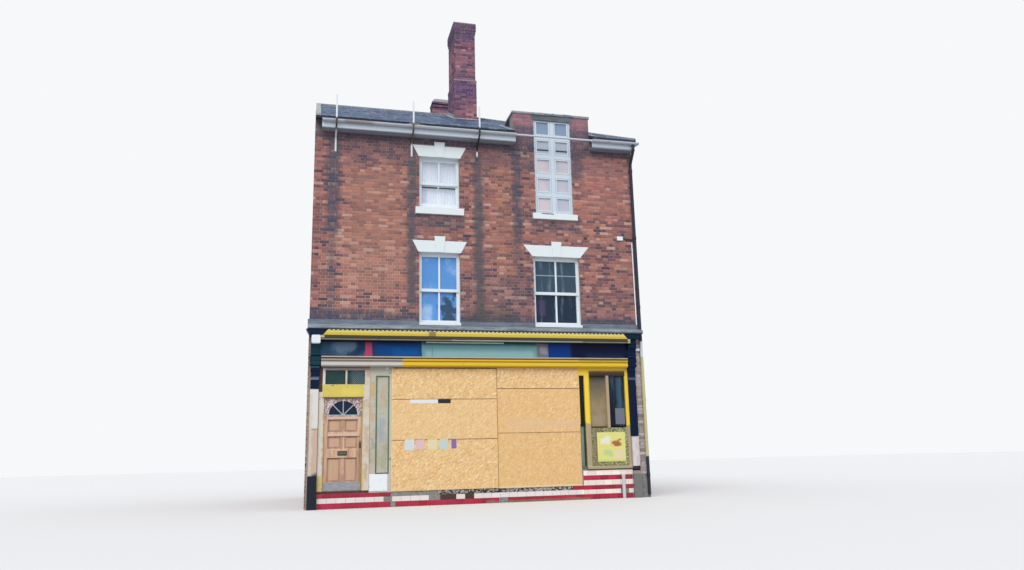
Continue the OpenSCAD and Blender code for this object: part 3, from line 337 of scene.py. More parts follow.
def speckled(tree, where, dark, light, scale, detail=8.0, roughness=0.7):
    """A colour that wanders from a dark to a light one, and the noise that it follows"""
    grain = noise(tree, where, scale, detail, roughness)
    return blended(tree, grain, 0.3, 0.7, dark, light), grain


def sooted_and_shaded(tree, colour, soot_and_shade, strength):
    """The colour with soot and painted shade, brown-grey streaks under two leaks in the gutter, and a damp
    foot
    """
    mask = placed(tree, street_soot_and_shade, {"Strength": strength})["Mask"]
    colour = mixed(tree, mask, colour, soot_and_shade)
    for left, right, foot in ((2.22, 2.40, 4.5), (3.86, 4.04, 4.2)):
        colour = patched(tree, colour, (0.12, 0.115, 0.108), left, right, foot, 8.4, 0.10, 0.45, 0.42)
        colour = patched(tree, colour, (0.11, 0.10, 0.095), left, right, foot, 6.4, 0.12, 0.6, 0.32)
    return patched(tree, colour, (0.085, 0.08, 0.075), 3.55, 4.7, 3.9, 4.5, 0.15, 0.5, 0.5)


def brickwork(name, stops, soot_and_shade, dirt, patches=()):
    """Bricks whose colour runs over stops from brick to brick, with patches, soot, painted shade and dirt"""
    made, tree, where = new_material(name, specular=0.25)
    mottle = times(tree, minus(tree, noise(tree, where, 34.0, 5.0, 0.7), 0.5), 0.8)
    colour = colours(tree, plus(tree, attribute(tree, "tone"), mottle), stops)
    for paint, *limits, strength in patches:
        colour = patched(tree, colour, paint, *limits, edge=0.3, wander=0.9, strength=strength)
    colour = dirtied(tree, colour, (0.115, 0.075, 0.09), dirt, 0.9)
    if soot_and_shade:
        colour = sooted_and_shaded(tree, colour, (0.064, 0.076, 0.118), soot_and_shade)
    pits = noise(tree, where, 150.0, 3.0)
    return finished(made, colour, between(tree, pits, 0.3, 0.7, 0.8, 0.95), pits, 0.004)


def mortar(name, colour, soot_and_shade, dirt=0.5, patches=()):
    """Lime mortar outside, and lime plaster on the inner faces"""
    made, tree, where = new_material(name, specular=0.2)
    shade, grain = speckled(tree, where, tuple(0.72 * c for c in colour), colour, 60.0, 5.0)
    shade = dirtied(tree, shade, (0.20, 0.15, 0.145), dirt, 1.3)
    shade = marked(tree, shade, patches)
    if soot_and_shade:
        shade = sooted_and_shaded(tree, shade, (0.10, 0.118, 0.155), soot_and_shade)
    return finished(made, shade, 0.93, grain, 0.004)


street_stops = [(0.0, (0.075, 0.05, 0.08)), (0.15, (0.14, 0.078, 0.10)), (0.35, (0.245, 0.112, 0.108)),
                (0.6, (0.375, 0.155, 0.130)), (0.82, (0.49, 0.225, 0.172)), (1.0, (0.54, 0.335, 0.275))]
yard_stops = [(0.0, (0.08, 0.045, 0.06)), (0.2, (0.19, 0.08, 0.07)), (0.55, (0.33, 0.135, 0.10)),
              (1.0, (0.47, 0.24, 0.18))]
# Warmer and darker patches of brick; the dark one from 8.15 to 8.9 is painted shade under the eaves
brick_tones_and_eaves_shade = [((0.51, 0.24, 0.165), 0.75, 2.1, 4.9, 8.0, 0.42),
                ((0.52, 0.20, 0.17), 6.55, 7.95, 6.9, 8.75, 0.40),
                ((0.47, 0.21, 0.125), 4.2, 4.75, 5.6, 8.2, 0.3),
                ((0.17, 0.09, 0.11), 0.6, 4.9, 8.15, 8.9, 0.45),
                ((0.42, 0.21, 0.30), 4.8, 7.0, 9.0, 9.8, 0.45)]
street_brick = brickwork("street brick", street_stops, 1.0, 0.3, brick_tones_and_eaves_shade)
yard_brick = brickwork("yard brick", yard_stops, 0.0, 0.4)
pale_joints = [((0.60, 0.50, 0.43), 0.1, 2.2, 3.9, 5.9, 0.4, 0.6, 0.7),
               ((0.52, 0.42, 0.38), 2.4, 4.9, 4.2, 5.4, 0.4, 0.6, 0.6)]
street_mortar = mortar("street mortar", (0.42, 0.325, 0.295), 0.92, 0.42, pale_joints)
yard_mortar = mortar("yard mortar", (0.46, 0.38, 0.33), 0.0)
dress(street_mortar, "front_wall", "corner_pier")
dress(yard_mortar, "gable_wall", "rear_wall", "party_wall", "shop_beam")


def courses(left, right, foot, top, gaps=(), lengths=(brick_l, header_l), height=brick_h,
            lap=bond_lap, space=joint, rise=None):
    """Middle, level, length and height of each brick between the limits, outside the gaps"""
    laid, row, low = [], 0, foot
    while low < top - height / 3:
        high = min(low + height, top)
        spans = [(left, right)]
        for gap in gaps:
            cut = gap((low + high) / 2)
            if cut:
                spans = [(a, b) for s, e in spans
                         for a, b in ((s, min(e, cut[0])), (max(s, cut[1]), e))
                         if b - a > least_cut]
        start, turn = left - (lap if row % 2 else 0), 0
        while start < right:
            end = start + lengths[turn % len(lengths)]
            for a, b in spans:
                near, far = max(a, start), min(b, end)
                if far - near > least_cut:
                    laid.append(((near + far) / 2, (low + high) / 2, far - near, high - low))
            start, turn = end + space, turn + 1
        low, row = low + (rise or height + space), row + 1
    return laid


def hole(x, half, low, high, spread=0.0):
    """A gap in the courses round x, spread wider towards its top"""
    def gap(z):
        if low < z < high:
            wide = half + spread * (z - low) / (high - low)
            return x - wide, x + wide
    return gap


def window_gaps(x, width, sill, height, splay, key_rise, sill_h=0.145):
    """What a window, its keystone, its flat arch and its sill take out of the courses"""
    head, arch_h, key_half, sill_past = sill + height, 0.285, 0.135, 0.095
    gaps = [hole(x, width / 2, sill - 0.05, head), hole(x, key_half, head, head + arch_h + key_rise),
            hole(x, width / 2 + 0.02, head, head + arch_h, splay)]
    if sill_h:
        gaps.append(hole(x, width / 2 + sill_past, sill - sill_h, sill))
    return gaps


def template(name, bm):
    """A shape that is laid many times, and taken out of the scene at the end"""
    mesh = bpy.data.meshes.new(name)
    bm.to_mesh(mesh)
    bm.free()
    templates.append(in_scene(name, mesh))
    return templates[-1]


def block_template(name, bevel, depth):
    """A block one metre wide and high with softened front edges and no back"""
    bm = bmesh.new()
    bmesh.ops.create_cube(bm, size=1.0)
    front = [f for f in bm.faces if f.normal.y < -0.9]
    if bevel:
        bmesh.ops.bevel(bm, geom=list(front[0].edges), offset=bevel, segments=1, profile=0.5,
                        affect="EDGES", material=-1)
    back = [f for f in bm.faces if f.normal.y > 0.9]
    bmesh.ops.delete(bm, geom=back, context="FACES_ONLY")
    bmesh.ops.scale(bm, vec=(1, depth, 1), verts=bm.verts)
    return template(name, bm)


def lay(name, shape, places, to_wall, made):
    """One mesh of copies of a template: each place has its middle, size, turn and tone"""
    points = bpy.data.meshes.new(name)
    points.from_pydata([place[0] for place in places], [], [])
    for label, column in (("size", 1), ("turn", 2)):
        values = [v for place in places for v in place[column]]
        points.attributes.new(label, "FLOAT_VECTOR", "POINT").data.foreach_set("vector", values)
    points.attributes.new("tone", "FLOAT", "POINT").data.foreach_set("value", [p[3] for p in places])
    tree = bpy.data.node_groups.new(name, "GeometryNodeTree")
    tree.interface.new_socket(name="Geometry", in_out="INPUT", socket_type="NodeSocketGeometry")
    tree.interface.new_socket(name="Geometry", in_out="OUTPUT", socket_type="NodeSocketGeometry")
    given = tree.nodes.new("NodeGroupInput").outputs[0]
    out = tree.nodes.new("NodeGroupOutput").inputs[0]
    read = {}
    for label in ("size", "turn"):
        source = add(tree, "GeometryNodeInputNamedAttribute", {"Name": label}, data_type="FLOAT_VECTOR")
        read[label] = next(s for s in source.outputs if s.enabled)
    copied = add(tree, "GeometryNodeObjectInfo", {"Object": shape}).outputs["Geometry"]
    copies = add(tree, "GeometryNodeInstanceOnPoints", {
        "Points": given, "Instance": copied, "Rotation": read["turn"], "Scale": read["size"]})
    joined = add(tree, "GeometryNodeRealizeInstances", {"Geometry": copies.outputs[0]})
    tree.links.new(joined.outputs[0], out)
    holder = in_scene(name, points)
    holder.modifiers.new("copies", "NODES").node_group = tree
    depsgraph = bpy.context.evaluated_depsgraph_get()
    mesh = bpy.data.meshes.new_from_object(holder.evaluated_get(depsgraph), depsgraph=depsgraph)
    bpy.data.objects.remove(holder)
    bpy.data.node_groups.remove(tree)
    for label in ("size", "turn"):
        if label in mesh.attributes:
            mesh.attributes.remove(mesh.attributes[label])
    mesh.transform(to_wall)
    piece(name, mesh, made)


def bricks(laid, dark=0.14, pale=0.018):
    """Places for bricks: some courses have more dark ones, and a few bricks are pale"""
    places, dark_shares = [], {}
    for x, z, length, height in laid:
        share = dark_shares.setdefault(round(z, 3), random.uniform(0.3, 1.7))
        tone = random.gauss(0.56, 0.19)
        if random.random() < dark * share:
            tone = random.uniform(0.05, 0.32)
        if random.random() < pale:
            tone = 1.1
        proud = random.uniform(-0.0015, 0.0015)
        crook = (0, random.gauss(0, 0.006), 0)
        places.append(((x, brick_face + proud, z), (length, 1, height), crook, tone))
    return places


templates = []
brick_face = 0.010
brick_block = block_template("brick block", 0.05, 0.03)
street_face = Matrix.Translation((-half_w, -half_d, 0))
gable_face = Matrix.Translation((half_w, -half_d, 0)) @ Matrix.Rotation(math.pi / 2, 4, "Z")
rear_face = Matrix.Translation((half_w, half_d, 0)) @ Matrix.Rotation(math.pi, 4, "Z")
party_face = Matrix.Translation((-half_w, half_d, 0)) @ Matrix.Rotation(-math.pi / 2, 4, "Z")

left_window, right_window, rear_windows = 2.975, 5.900, (1.9, 6.15)
narrow_w, wide_w, high_h, low_h = 0.99, 1.2, 1.78, 1.31
narrow_splay, wide_splay = 0.145, 0.23
yard_sill, first_sill, second_sill, stair_head = 1.25, 4.062, 6.95, 9.47
ground, lead_top, eaves_foot, dormer_top = 0.02, 3.925, 8.72, 9.605
gable_top, party_top, roof_depth = 8.87, 10.9, 0.2
stair_half, lintel_half, stair_sill_half, stair_sill_foot = 0.49, 0.55, 0.585, 6.805
dormer_left, dormer_right = 4.87, 6.90
front_gaps = window_gaps(left_window, narrow_w, first_sill, high_h, narrow_splay, 0.11, 0)
front_gaps += window_gaps(right_window, wide_w, first_sill, high_h, wide_splay, 0.10, 0)
front_gaps += window_gaps(left_window, narrow_w, second_sill, low_h, narrow_splay, 0.10, 0.165)
front_gaps += [hole(right_window, stair_half, second_sill, stair_head),
               hole(right_window, lintel_half, stair_head, dormer_top),
               hole(right_window, stair_sill_half, stair_sill_foot, second_sill)]
front_gaps += [lambda z: (0, dormer_left) if z > eaves_foot else None,
               lambda z: (dormer_right, house_w + 1) if z > eaves_foot else None]
full_width = (-past_corner, house_w + past_corner)
full_depth = (-past_corner, house_d + past_corner)
street_bricks = bricks(courses(*full_width, lead_top, dormer_top, front_gaps), 0.2)
lay("street_bricks", brick_block, street_bricks, street_face, street_brick)


def party_gap(z):
    """What the slope of the roof takes off the courses at both ends of the party wall"""
    return max((z - eaves_z + roof_depth) / slope, 0)


party_gaps = [lambda z: (-1, party_gap(z)), lambda z: (house_d - party_gap(z), house_d + 1)]
lay("gable_bricks", brick_block, bricks(courses(*full_depth, ground, gable_top)), gable_face, yard_brick)
lay("party_bricks", brick_block, bricks(courses(*full_depth, ground, party_top, party_gaps)), party_face,
    yard_brick)
rear_gaps = []
for x in rear_windows:
    for sill, height in ((yard_sill, high_h), (first_sill, high_h), (second_sill, low_h)):
        rear_gaps += window_gaps(x, narrow_w, sill, height, narrow_splay, 0.10)
lay("rear_bricks", brick_block, bricks(courses(*full_width, ground, eaves_foot, rear_gaps)), rear_face,
    yard_brick)


# Corner pier
# The brick strip between the shopfront and the corner. It was painted long ago and has
# weathered to a greyish lilac; a coat of cement covers its foot.

pier_brick = brickwork("painted pier brick", [(0.0, (0.20, 0.14, 0.13)), (0.4, (0.40, 0.34, 0.33)),
                                              (0.7, (0.52, 0.48, 0.48)), (1.0, (0.62, 0.57, 0.54))],
                       0.0, 0.35)
pier_w, pier_foot, pier_top = 0.25, 0.545, 3.9
pier_places = bricks(courses(house_w - pier_w, house_w + past_corner, pier_foot, pier_top), 0.1)
lay("pier_bricks", brick_block, pier_places, street_face, pier_brick)


def bar(bm, low, high, rounding, segments):
    """A block between two corners with its edges taken off"""
    middle = [(a + b) / 2 for a, b in zip(low, high)]
    size = [b - a for a, b in zip(low, high)]
    to_place = Matrix.Translation(middle) @ Matrix.Diagonal((*size, 1))
    made = bmesh.ops.create_cube(bm, size=1.0, matrix=to_place)
    edges = list({edge for vert in made["verts"] for edge in vert.link_edges})
    bmesh.ops.bevel(bm, geom=edges, offset=rounding, segments=segments, profile=0.5,
                    affect="EDGES", material=-1)


def bars(name, corners, made, rounding, to_wall=street_face):
    """A piece of several such blocks, given from the party corner"""
    bm = bmesh.new()
    for low, high in corners:
        bar(bm, low, high, rounding, 2)
    bm.transform(to_wall)
    piece(name, bm, made)


made, tree, where = new_material("cement", specular=0.2)
colour, rough = speckled(tree, where, (0.16, 0.165, 0.16), (0.32, 0.32, 0.30), 22.0)
cement = finished(made, dirtied(tree, colour, (0.07, 0.07, 0.065), 0.4, 3.0), 0.9, rough, 0.012)
render_box = ((house_w - pier_w + 0.002, -0.014, 0.0), (house_w - 0.006, -0.0005, pier_foot + 0.007))
bars("pier_render", [render_box], cement, 0.006)


# Chimneys
# Two brick stacks. The one below the ridge is tall, with an oversailing string near its foot and
# a corbelled head; the one in the yard wall is low, with two bands and a sloping cement top.

stack_stops = [(0.0, (0.08, 0.05, 0.115)), (0.25, (0.165, 0.085, 0.14)), (0.6, (0.325, 0.14, 0.17)),
               (1.0, (0.46, 0.24, 0.255))]
stack_dark = [((0.065, 0.055, 0.13), 3.0, 5.0, 12.75, 13.5, 0.75),
              ((0.065, 0.05, 0.16), 3.0, 5.0, 11.0, 11.75, 0.6)]
stack_brick = brickwork("chimney brick", stack_stops, 0.0, 0.42, stack_dark)
stack_mortar = mortar("chimney mortar", (0.36, 0.28, 0.27), 0.0, 0.5, [
    ((0.40, 0.37, 0.40), 3.0, 5.0, 13.05, 13.11, 0.01), ((0.26, 0.27, 0.28), 3.7, 4.7, 12.80, 12.96),
    ((0.08, 0.06, 0.09), 3.7, 4.7, 12.55, 12.80)])
dress(stack_mortar, "main_chimney", "rear_chimney")


def stack_courses(x0, x1, y0, y1, low, high, under_roof):
    """Bricks round all four sides of a shaft, down to the slates"""
    places = []
    corners = ((x0, y0, x1 - x0), (x1, y0, y1 - y0), (x1, y1, x1 - x0), (x0, y1, y1 - y0))
    for turn, (x, y, width) in enumerate(corners):
        to_wall = Matrix.Translation((x, y, 0)) @ Matrix.Rotation(turn * math.pi / 2, 4, "Z")
        laid = courses(-past_corner, width + past_corner, low, high)
        for middle, size, _, tone in bricks(laid, 0.25):
            spot = to_wall @ Vector(middle)
            roof = eaves_z + min(spot.y, house_d - spot.y) * slope
            if spot.z > roof - 0.05 or not under_roof:
                places.append((spot, size, (0, 0, turn * math.pi / 2), tone * 0.9))
    return places


# Left, right, front, back, foot and head of each shaft or band, and whether slates meet it
stack_places = []
for shaft in ((3.785, 4.427, 2.3, 3.3, 10.2, 11.545, True),
              (3.809, 4.403, 2.324, 3.276, 11.595, 13.055, False),
              (3.794, 4.418, 2.309, 3.291, 13.062, 13.145, False),
              (3.779, 4.433, 2.294, 3.306, 13.148, 13.385, False),
              (3.815, 4.565, 6.42, 6.87, 9.3, 12.615, True),
              (3.795, 4.585, 6.40, 6.89, 12.628, 12.70, False),
              (3.785, 4.595, 6.39, 6.90, 12.742, 12.808, False)):
    stack_places += stack_courses(*shaft)
lay("chimney_bricks", brick_block, stack_places, street_face, stack_brick)


# Roof
# Welsh slates in half bond on both slopes and on the hip end at the right, blue clay tiles on
# the ridge and the hips, and a mortar kerb against the party wall.

slate_w, slate_gauge, slate_t, slate_gap = 0.255, 0.205, 0.008, 0.006
overhang, slate_foot, slate_head = 0.26, -0.285, 4.07
cos_lean = math.cos(lean)
hip_x = 7.86
made, tree, where = new_material("slate", specular=0.12)
colour = colours(tree, attribute(tree, "tone"), [
    (0.0, (0.018, 0.03, 0.065)), (0.35, (0.043, 0.07, 0.13)), (0.65, (0.082, 0.122, 0.205)),
    (0.85, (0.13, 0.17, 0.25)), (1.0, (0.24, 0.25, 0.27))])
runs = noise(tree, stretched(tree, where, (7, 1.2, 1.2)), 1.4, 6.0, 0.7)
colour = mixed(tree, between(tree, runs, 0.48, 0.66, 0.0, 0.55), colour, (0.19, 0.25, 0.36))
colour = dirtied(tree, colour, (0.21, 0.21, 0.16), 0.3, 1.6)
colour = dirtied(tree, colour, (0.05, 0.06, 0.085), 0.3, 4.0)
cleft = noise(tree, stretched(tree, where, (1, 3, 3)), 14.0, 7.0, 0.65)
slate = finished(made, colour, between(tree, cleft, 0.3, 0.7, 0.45, 0.75), cleft, 0.004)
made, tree, where = new_material("slate bed", specular=0.3)
colour = mixed(tree, noise(tree, where, 5.0), (0.012, 0.015, 0.025), (0.05, 0.055, 0.075))
dress(finished(made, colour, 0.85), "front_roof", "rear_roof")
slate_block = block_template("slate block", 0.0, slate_t)


def slates(name, along, gaps, to_slope):
    """Courses of slates up a slope; each lies on the tails of the two below it"""
    laid = courses(-overhang, along, slate_foot, slate_head, gaps, (slate_w,), slate_gauge, slate_w / 2,
                   slate_gap, slate_gauge)
    places, course_tones = [], {}
    for x, up, width, height in laid:
        tone = course_tones.setdefault(round(up, 3), random.gauss(0.45, 0.08))
        tone = min(1, max(0, tone + random.gauss(0, 0.15)))
        tilt = 0.046 + random.gauss(0, 0.005)
        places.append(((x, -0.0045 - random.uniform(0, 0.0015), up), (width, 1, height * 1.02),
                       (tilt, 0, random.gauss(0, 0.004)), tone))
    lay(name, slate_block, places, to_slope, slate)


up_slope = Matrix.Rotation(lean - math.pi / 2, 4, "X")
street_slope = Matrix.Translation((-half_w, -half_d, eaves_z)) @ up_slope
yard_slope = Matrix.Rotation(math.pi, 4, "Z") @ street_slope
hip_slope = Matrix.Translation((hip_x - half_w, -half_d, eaves_z)) @ Matrix.Rotation(
    math.pi / 2, 4, "Z") @ up_slope
dormer_reach = (dormer_top - eaves_z) / slope / cos_lean
hip_short, kerb_w, cheek_gap = 0.09, 0.125, (dormer_left - 0.01, dormer_right + 0.01)
main_gap, rear_gap = (3.78, 4.432), (house_w - 4.57, house_w - 3.81)
street_roof_gaps = [lambda up: cheek_gap if up < dormer_reach else None,
                    lambda up: main_gap if 2.29 < up * cos_lean < 3.31 else None,
                    lambda up: (-1, kerb_w), lambda up: (hip_x - up * cos_lean - hip_short, 9)]
slates("street_slates", house_w + 0.06, street_roof_gaps, street_slope)
yard_hip_x = house_w - hip_x
yard_roof_gaps = [lambda up: rear_gap if 0.32 < up * cos_lean < 0.79 else None,
                  lambda up: (house_w - kerb_w, 9),
                  lambda up: (-1, yard_hip_x + up * cos_lean + hip_short)]
slates("yard_slates", house_w, yard_roof_gaps, yard_slope)
hip_gaps = [lambda up: (-1, up * cos_lean + hip_short),
            lambda up: (house_d - up * cos_lean - hip_short, 9)]
slates("hip_slates", house_d + overhang, hip_gaps, hip_slope)

made, tree, where = new_material("ridge tile", specular=0.4)
colour, rough = speckled(tree, where, (0.10, 0.12, 0.16), (0.24, 0.26, 0.30), 18.0, 6.0, 0.6)
colour = dirtied(tree, colour, (0.33, 0.31, 0.24), 0.4, 5.0)
along = maths(tree, "FRACT", times(tree, parts_of(tree, where)[0], 2.3))
seam = between(tree, along, 0.03, 0.05, 1.0, 0.0)
colour = mixed(tree, seam, colour, (0.34, 0.33, 0.31))
height = minus(tree, rough, seam)
dress(finished(made, colour, 0.7, height, 0.004), "ridge_tiles")

made, tree, where = new_material("cement mortar", specular=0.2)
colour, rough = speckled(tree, where, (0.22, 0.22, 0.23), (0.50, 0.50, 0.50), 26.0)
roof_mortar = finished(made, dirtied(tree, colour, (0.10, 0.10, 0.10), 0.35, 5.0), 0.9, rough, 0.012)
dress(roof_mortar, "verge_kerb")


# Roof flashings
# A pale mortar fillet and lead round the foot of the tall stack, lead up both cheeks of the
# dormer, and broken bedding mortar along the front of its flat.

whole_front = (-1.0, 9.0)
made, tree, where = new_material("lead sheet", metallic=0.2, specular=0.3)
sweep = noise(tree, stretched(tree, where, (0.9, 6, 7)), 1.7, 8.0, 0.68, 0.6)
colour = blended(tree, sweep, 0.3, 0.68, (0.125, 0.15, 0.19), (0.35, 0.40, 0.45))
colour = dirtied(tree, colour, (0.055, 0.06, 0.07), 0.35, 3.0)
colour = marked(tree, colour, [
    ((0.11, 0.14, 0.18), *whole_front, 4.055, 4.2, 0.02, 0.1, 0.7),
    ((0.08, 0.09, 0.11), *whole_front, 3.88, 3.93, 0.01, 0.03, 0.8),
    ((0.07, 0.08, 0.095), 5.3, 6.5, 9.46, 9.62, 0.02, 0.05, 0.75)])
dents = noise(tree, where, 9.0, 6.0, 0.65)
lead = finished(made, colour, between(tree, dents, 0.3, 0.7, 0.45, 0.7), dents, 0.018)
dress(lead, "lead_flashing", "dormer_flat")
dress(slate, "dormer_cheeks")

stack_foot, stack_back = 2.3 / cos_lean, 3.3 / cos_lean
# Left, right, lower and upper end of the three strips of mortar round the foot of the stack
ring = ((3.70, 3.79, stack_foot - 0.10, stack_back + 0.05), (4.42, 4.50, stack_foot - 0.10, stack_back),
        (3.70, 4.50, stack_foot - 0.12, stack_foot + 0.005))
bars("stack_fillet", [((a, -0.040, c), (b, -0.012, d)) for a, b, c, d in ring], roof_mortar,
     0.012, street_slope)
bars("stack_upstand", [((3.762, -0.11, stack_foot + 0.02), (3.784, -0.02, stack_back)),
                       ((4.428, -0.11, stack_foot + 0.02), (4.450, -0.02, stack_back))],
     lead, 0.008, street_slope)
bars("cheek_flashing", [((4.70, -0.030, -0.27), (4.865, -0.014, dormer_reach + 0.12)),
                        ((6.905, -0.030, -0.27), (7.03, -0.014, dormer_reach - 0.12))],
     lead, 0.004, street_slope)


def lumps(name, spots, made):
    """Small uneven lumps, given from the party corner by middle and half size"""
    bm = bmesh.new()
    for middle, size in spots:
        turn = Matrix.Rotation(random.uniform(-0.3, 0.3), 4, "Z")
        to_place = Matrix.Translation(middle) @ turn @ Matrix.Diagonal((*size, 1))
        ball = bmesh.ops.create_icosphere(bm, subdivisions=2, radius=1, matrix=to_place)
        for vert in ball["verts"]:
            vert.co += Vector([random.gauss(0, 0.10 * s) for s in size])
    bm.transform(street_face)
    piece(name, bm, made, smooth=True)


spots = []
x, flat_end, flat_top, hood_top = 4.90, 6.78, 9.625, 9.655
while x < flat_end:
    wide = random.uniform(0.03, 0.07)
    head = hood_top if 5.3 < x < 6.45 else flat_top
    spots.append(((x + wide, -0.012, head + random.uniform(-0.012, 0.012)),
                  (wide, 0.022, random.uniform(0.010, 0.024))))
    x += wide * random.uniform(1.5, 3.2)
lumps("dormer_mortar", spots, roof_mortar)


# Painted timber and stone
# White gloss on the eaves, the sashes and the stair window; masonry paint on the flat arches,
# keystones and sills. It has peeled in places; shade is painted on the soffits, along the foot of
# the eaves boards and round the panes of the stair window.

flaking, given, out, where = effect(
    "Flaking paint", {"Paint": (0.8, 0.8, 0.8, 1.0), "Bare": (0.3, 0.22, 0.15, 1.0), "Worn": 0.2,
                      "Scale": 6.0},
    {"Color": "Color", "Height": "Float"})
flakes = noise(flaking, where, given["Scale"], 9.0, 0.7, 0.4)
edge = between(flaking, given["Worn"], 0.0, 1.0, 0.22, 0.78)
bare = between(flaking, flakes, edge, minus(flaking, edge, 0.025))
flaking.links.new(mixed(flaking, bare, given["Paint"], given["Bare"]), out["Color"])
flaking.links.new(minus(flaking, 1.0, bare), out["Height"])


def flaked(tree, paint, bare, worn, scale):
    """Paint that has flaked off in places: its colour, and where it still stands up"""
    return placed(tree, flaking, {"Paint": paint, "Bare": bare, "Worn": worn, "Scale": scale})


def paint_over(made, tree, paint, bare, worn, scale, dirt, dirty, gloss, patches=()):
    """Finishes a material as paint that flakes off what is under it, with patches and dirt"""
    coat = flaked(tree, marked(tree, paint, patches), bare, worn, scale)
    dust = placed(tree, grime, {"Color": coat["Color"], "Dirt": dirt, "Amount": dirty,
                                "Scale": scale * 0.5})
    rough = plus(tree, times(tree, dust["Mask"], 0.3), gloss)
    return finished(made, dust["Color"], rough, coat["Height"], 0.0012)


def painted(name, paint, bare, worn, scale=6.0, dirt=(0.2, 0.2, 0.2), dirty=0.25, gloss=0.45,
            patches=()):
    """A material of such paint"""
    made, tree, _ = new_material(name)
    return paint_over(made, tree, paint, bare, worn, scale, dirt, dirty, gloss, patches)


# The eaves boards carry painted shade: dark on the soffits, and grey along the foot of the boards
dress(painted("eaves paint", (0.60, 0.67, 0.74), (0.3, 0.3, 0.3), 0.1, 5.0, (0.25, 0.29, 0.36), 0.3,
              patches=[((0.09, 0.11, 0.17), *whole_front, 8.0, 8.7335, 0.001),
                       ((0.30, 0.34, 0.42), 6.8, 8.3, 8.70, 8.765, 0.008),
                       ((0.33, 0.37, 0.43), -1.0, 5.0, 8.70, 8.75, 0.006)]),
      "eaves_boxes")
dress(painted("stone paint", (0.76, 0.82, 0.83), (0.42, 0.38, 0.34), 0.06, 7.0, (0.42, 0.45, 0.48),
              0.3, 0.6, [((0.20, 0.13, 0.11), 5.53, 5.86, 6.925, 6.96, 0.006, 0.12)]),
      "window_arches", "window_sills")
dress(painted("sash paint", (0.76, 0.82, 0.87), (0.4, 0.38, 0.35), 0.07, 9.0, (0.40, 0.44, 0.50), 0.28,
              0.4), "sash_windows")
# A ring of painted shade round each pane of the stair window, with the plain paint inside it
pane_shade_rings = []
pane_foot, pane_step, pane_w, pane_h = 7.008, 0.512, 0.386, 0.406
for row in range(5):
    for left in (5.462, 5.956):
        right, foot = left + pane_w, pane_foot + row * pane_step
        head = foot + pane_h
        pane_shade_rings += [((0.42, 0.47, 0.54), left - 0.006, right + 0.006, foot - 0.006, head + 0.006, 0.006),
                    ((0.62, 0.71, 0.79), left + 0.004, right - 0.004, foot + 0.004, head - 0.004, 0.003)]
dress(painted("stair window paint", (0.60, 0.69, 0.77), (0.4, 0.38, 0.35), 0.07, 9.0,
              (0.38, 0.42, 0.50), 0.32, 0.4, pane_shade_rings), "tall_window")


# Gutters, posts and downpipe
# Half-round iron gutters in faded white with a pipe across the dormer, and silt lying in them;
# flat steel posts that are rusty behind the gutter; a cast-iron downpipe in several paints.

dress(painted("gutter paint", (0.58, 0.61, 0.68), (0.22, 0.16, 0.13), 0.12, 9.0, (0.16, 0.17, 0.21),
              0.35, patches=[((0.34, 0.28, 0.26), 0.66, 1.35, 8.5, 9.2, 0.08, 0.5, 0.7)]), "gutters")
made, tree, _ = new_material("post paint")
coat = flaked(tree, (0.74, 0.78, 0.82), (0.10, 0.055, 0.04), 0.2, 20.0)
colour = marked(tree, coat["Color"], [
    ((0.07, 0.06, 0.065), -1.0, 1.0, 8.70, 8.93, 0.03, 0.1),
    ((0.12, 0.085, 0.06), 1.0, 3.0, 8.56, 8.96, 0.04, 0.15),
    ((0.025, 0.035, 0.035), 3.0, 5.0, 8.45, 8.98, 0.04, 0.15),
    ((0.06, 0.07, 0.075), 3.0, 5.0, 8.1, 8.33, 0.04, 0.15)])
dress(finished(made, colour, 0.6, coat["Height"], 0.001), "eaves_posts")

made, tree, where = new_material("downpipe paint")
colour = marked(tree, (0.035, 0.04, 0.055), [
    ((0.56, 0.50, 0.27), *whole_front, 0.95, 3.35, 0.02, 0.1),
    ((0.70, 0.72, 0.74), *whole_front, 3.35, 3.75, 0.02, 0.05)])
colour = dirtied(tree, colour, (0.05, 0.045, 0.045), 0.3, 6.0)
dress(finished(made, colour, 0.45, noise(tree, where, 60.0), 0.001), "downpipe")

made, tree, where = new_material("gutter silt", specular=0.2)
rough = noise(tree, where, 45.0, 6.0, 0.7)
colour = blended(tree, rough, 0.35, 0.65, (0.13, 0.10, 0.075), (0.34, 0.29, 0.20))
silt = finished(made, colour, 0.95, rough, 0.01)
spots = []
gutter_y, silt_z = -0.285, 8.905
for start, end, count, rise in ((0.55, 1.5, 16, 0.010), (2.08, 2.62, 14, 0.034), (3.3, 4.3, 10, 0.006)):
    for number in range(count):
        x = start + (end - start) * (number + random.random()) / count
        swell = rise * math.sin(math.pi * (x - start) / (end - start))
        size = (random.uniform(0.04, 0.08), 0.042, 0.016 + swell)
        spots.append(((x, gutter_y, silt_z + swell), size))
lumps("gutter_silt", spots, silt)


# Window glass
# Old sheet glass. A reflection of the sky is painted on the left window in blue, and a dark
# reflection on the right one; the stair window is obscured glass. The glass at the top left is clear.

sky_panes, net_panes = (2.3, 3.6, 4.0, 6.0), (2.3, 3.6, 6.9, 8.4)
dark_panes, stair_x = (5.2, 6.6, 4.0, 6.0), (5.3, 6.5)
sash_gap = (2.3, 3.6, 7.508, 7.545)
made, tree, where = new_material("window panes", specular=0.3)
drift = noise(tree, stretched(tree, where, (1, 1, 0.7)), 1.5, 5.0, 0.6, 0.5)
upright_drift = noise(tree, stretched(tree, where, (9, 9, 0.9)), 1.0, 5.0, 0.65)
cloud = between(tree, drift, 0.40, 0.64)
rear_colour = mixed(tree, cloud, (0.02, 0.03, 0.04), (0.10, 0.14, 0.18))
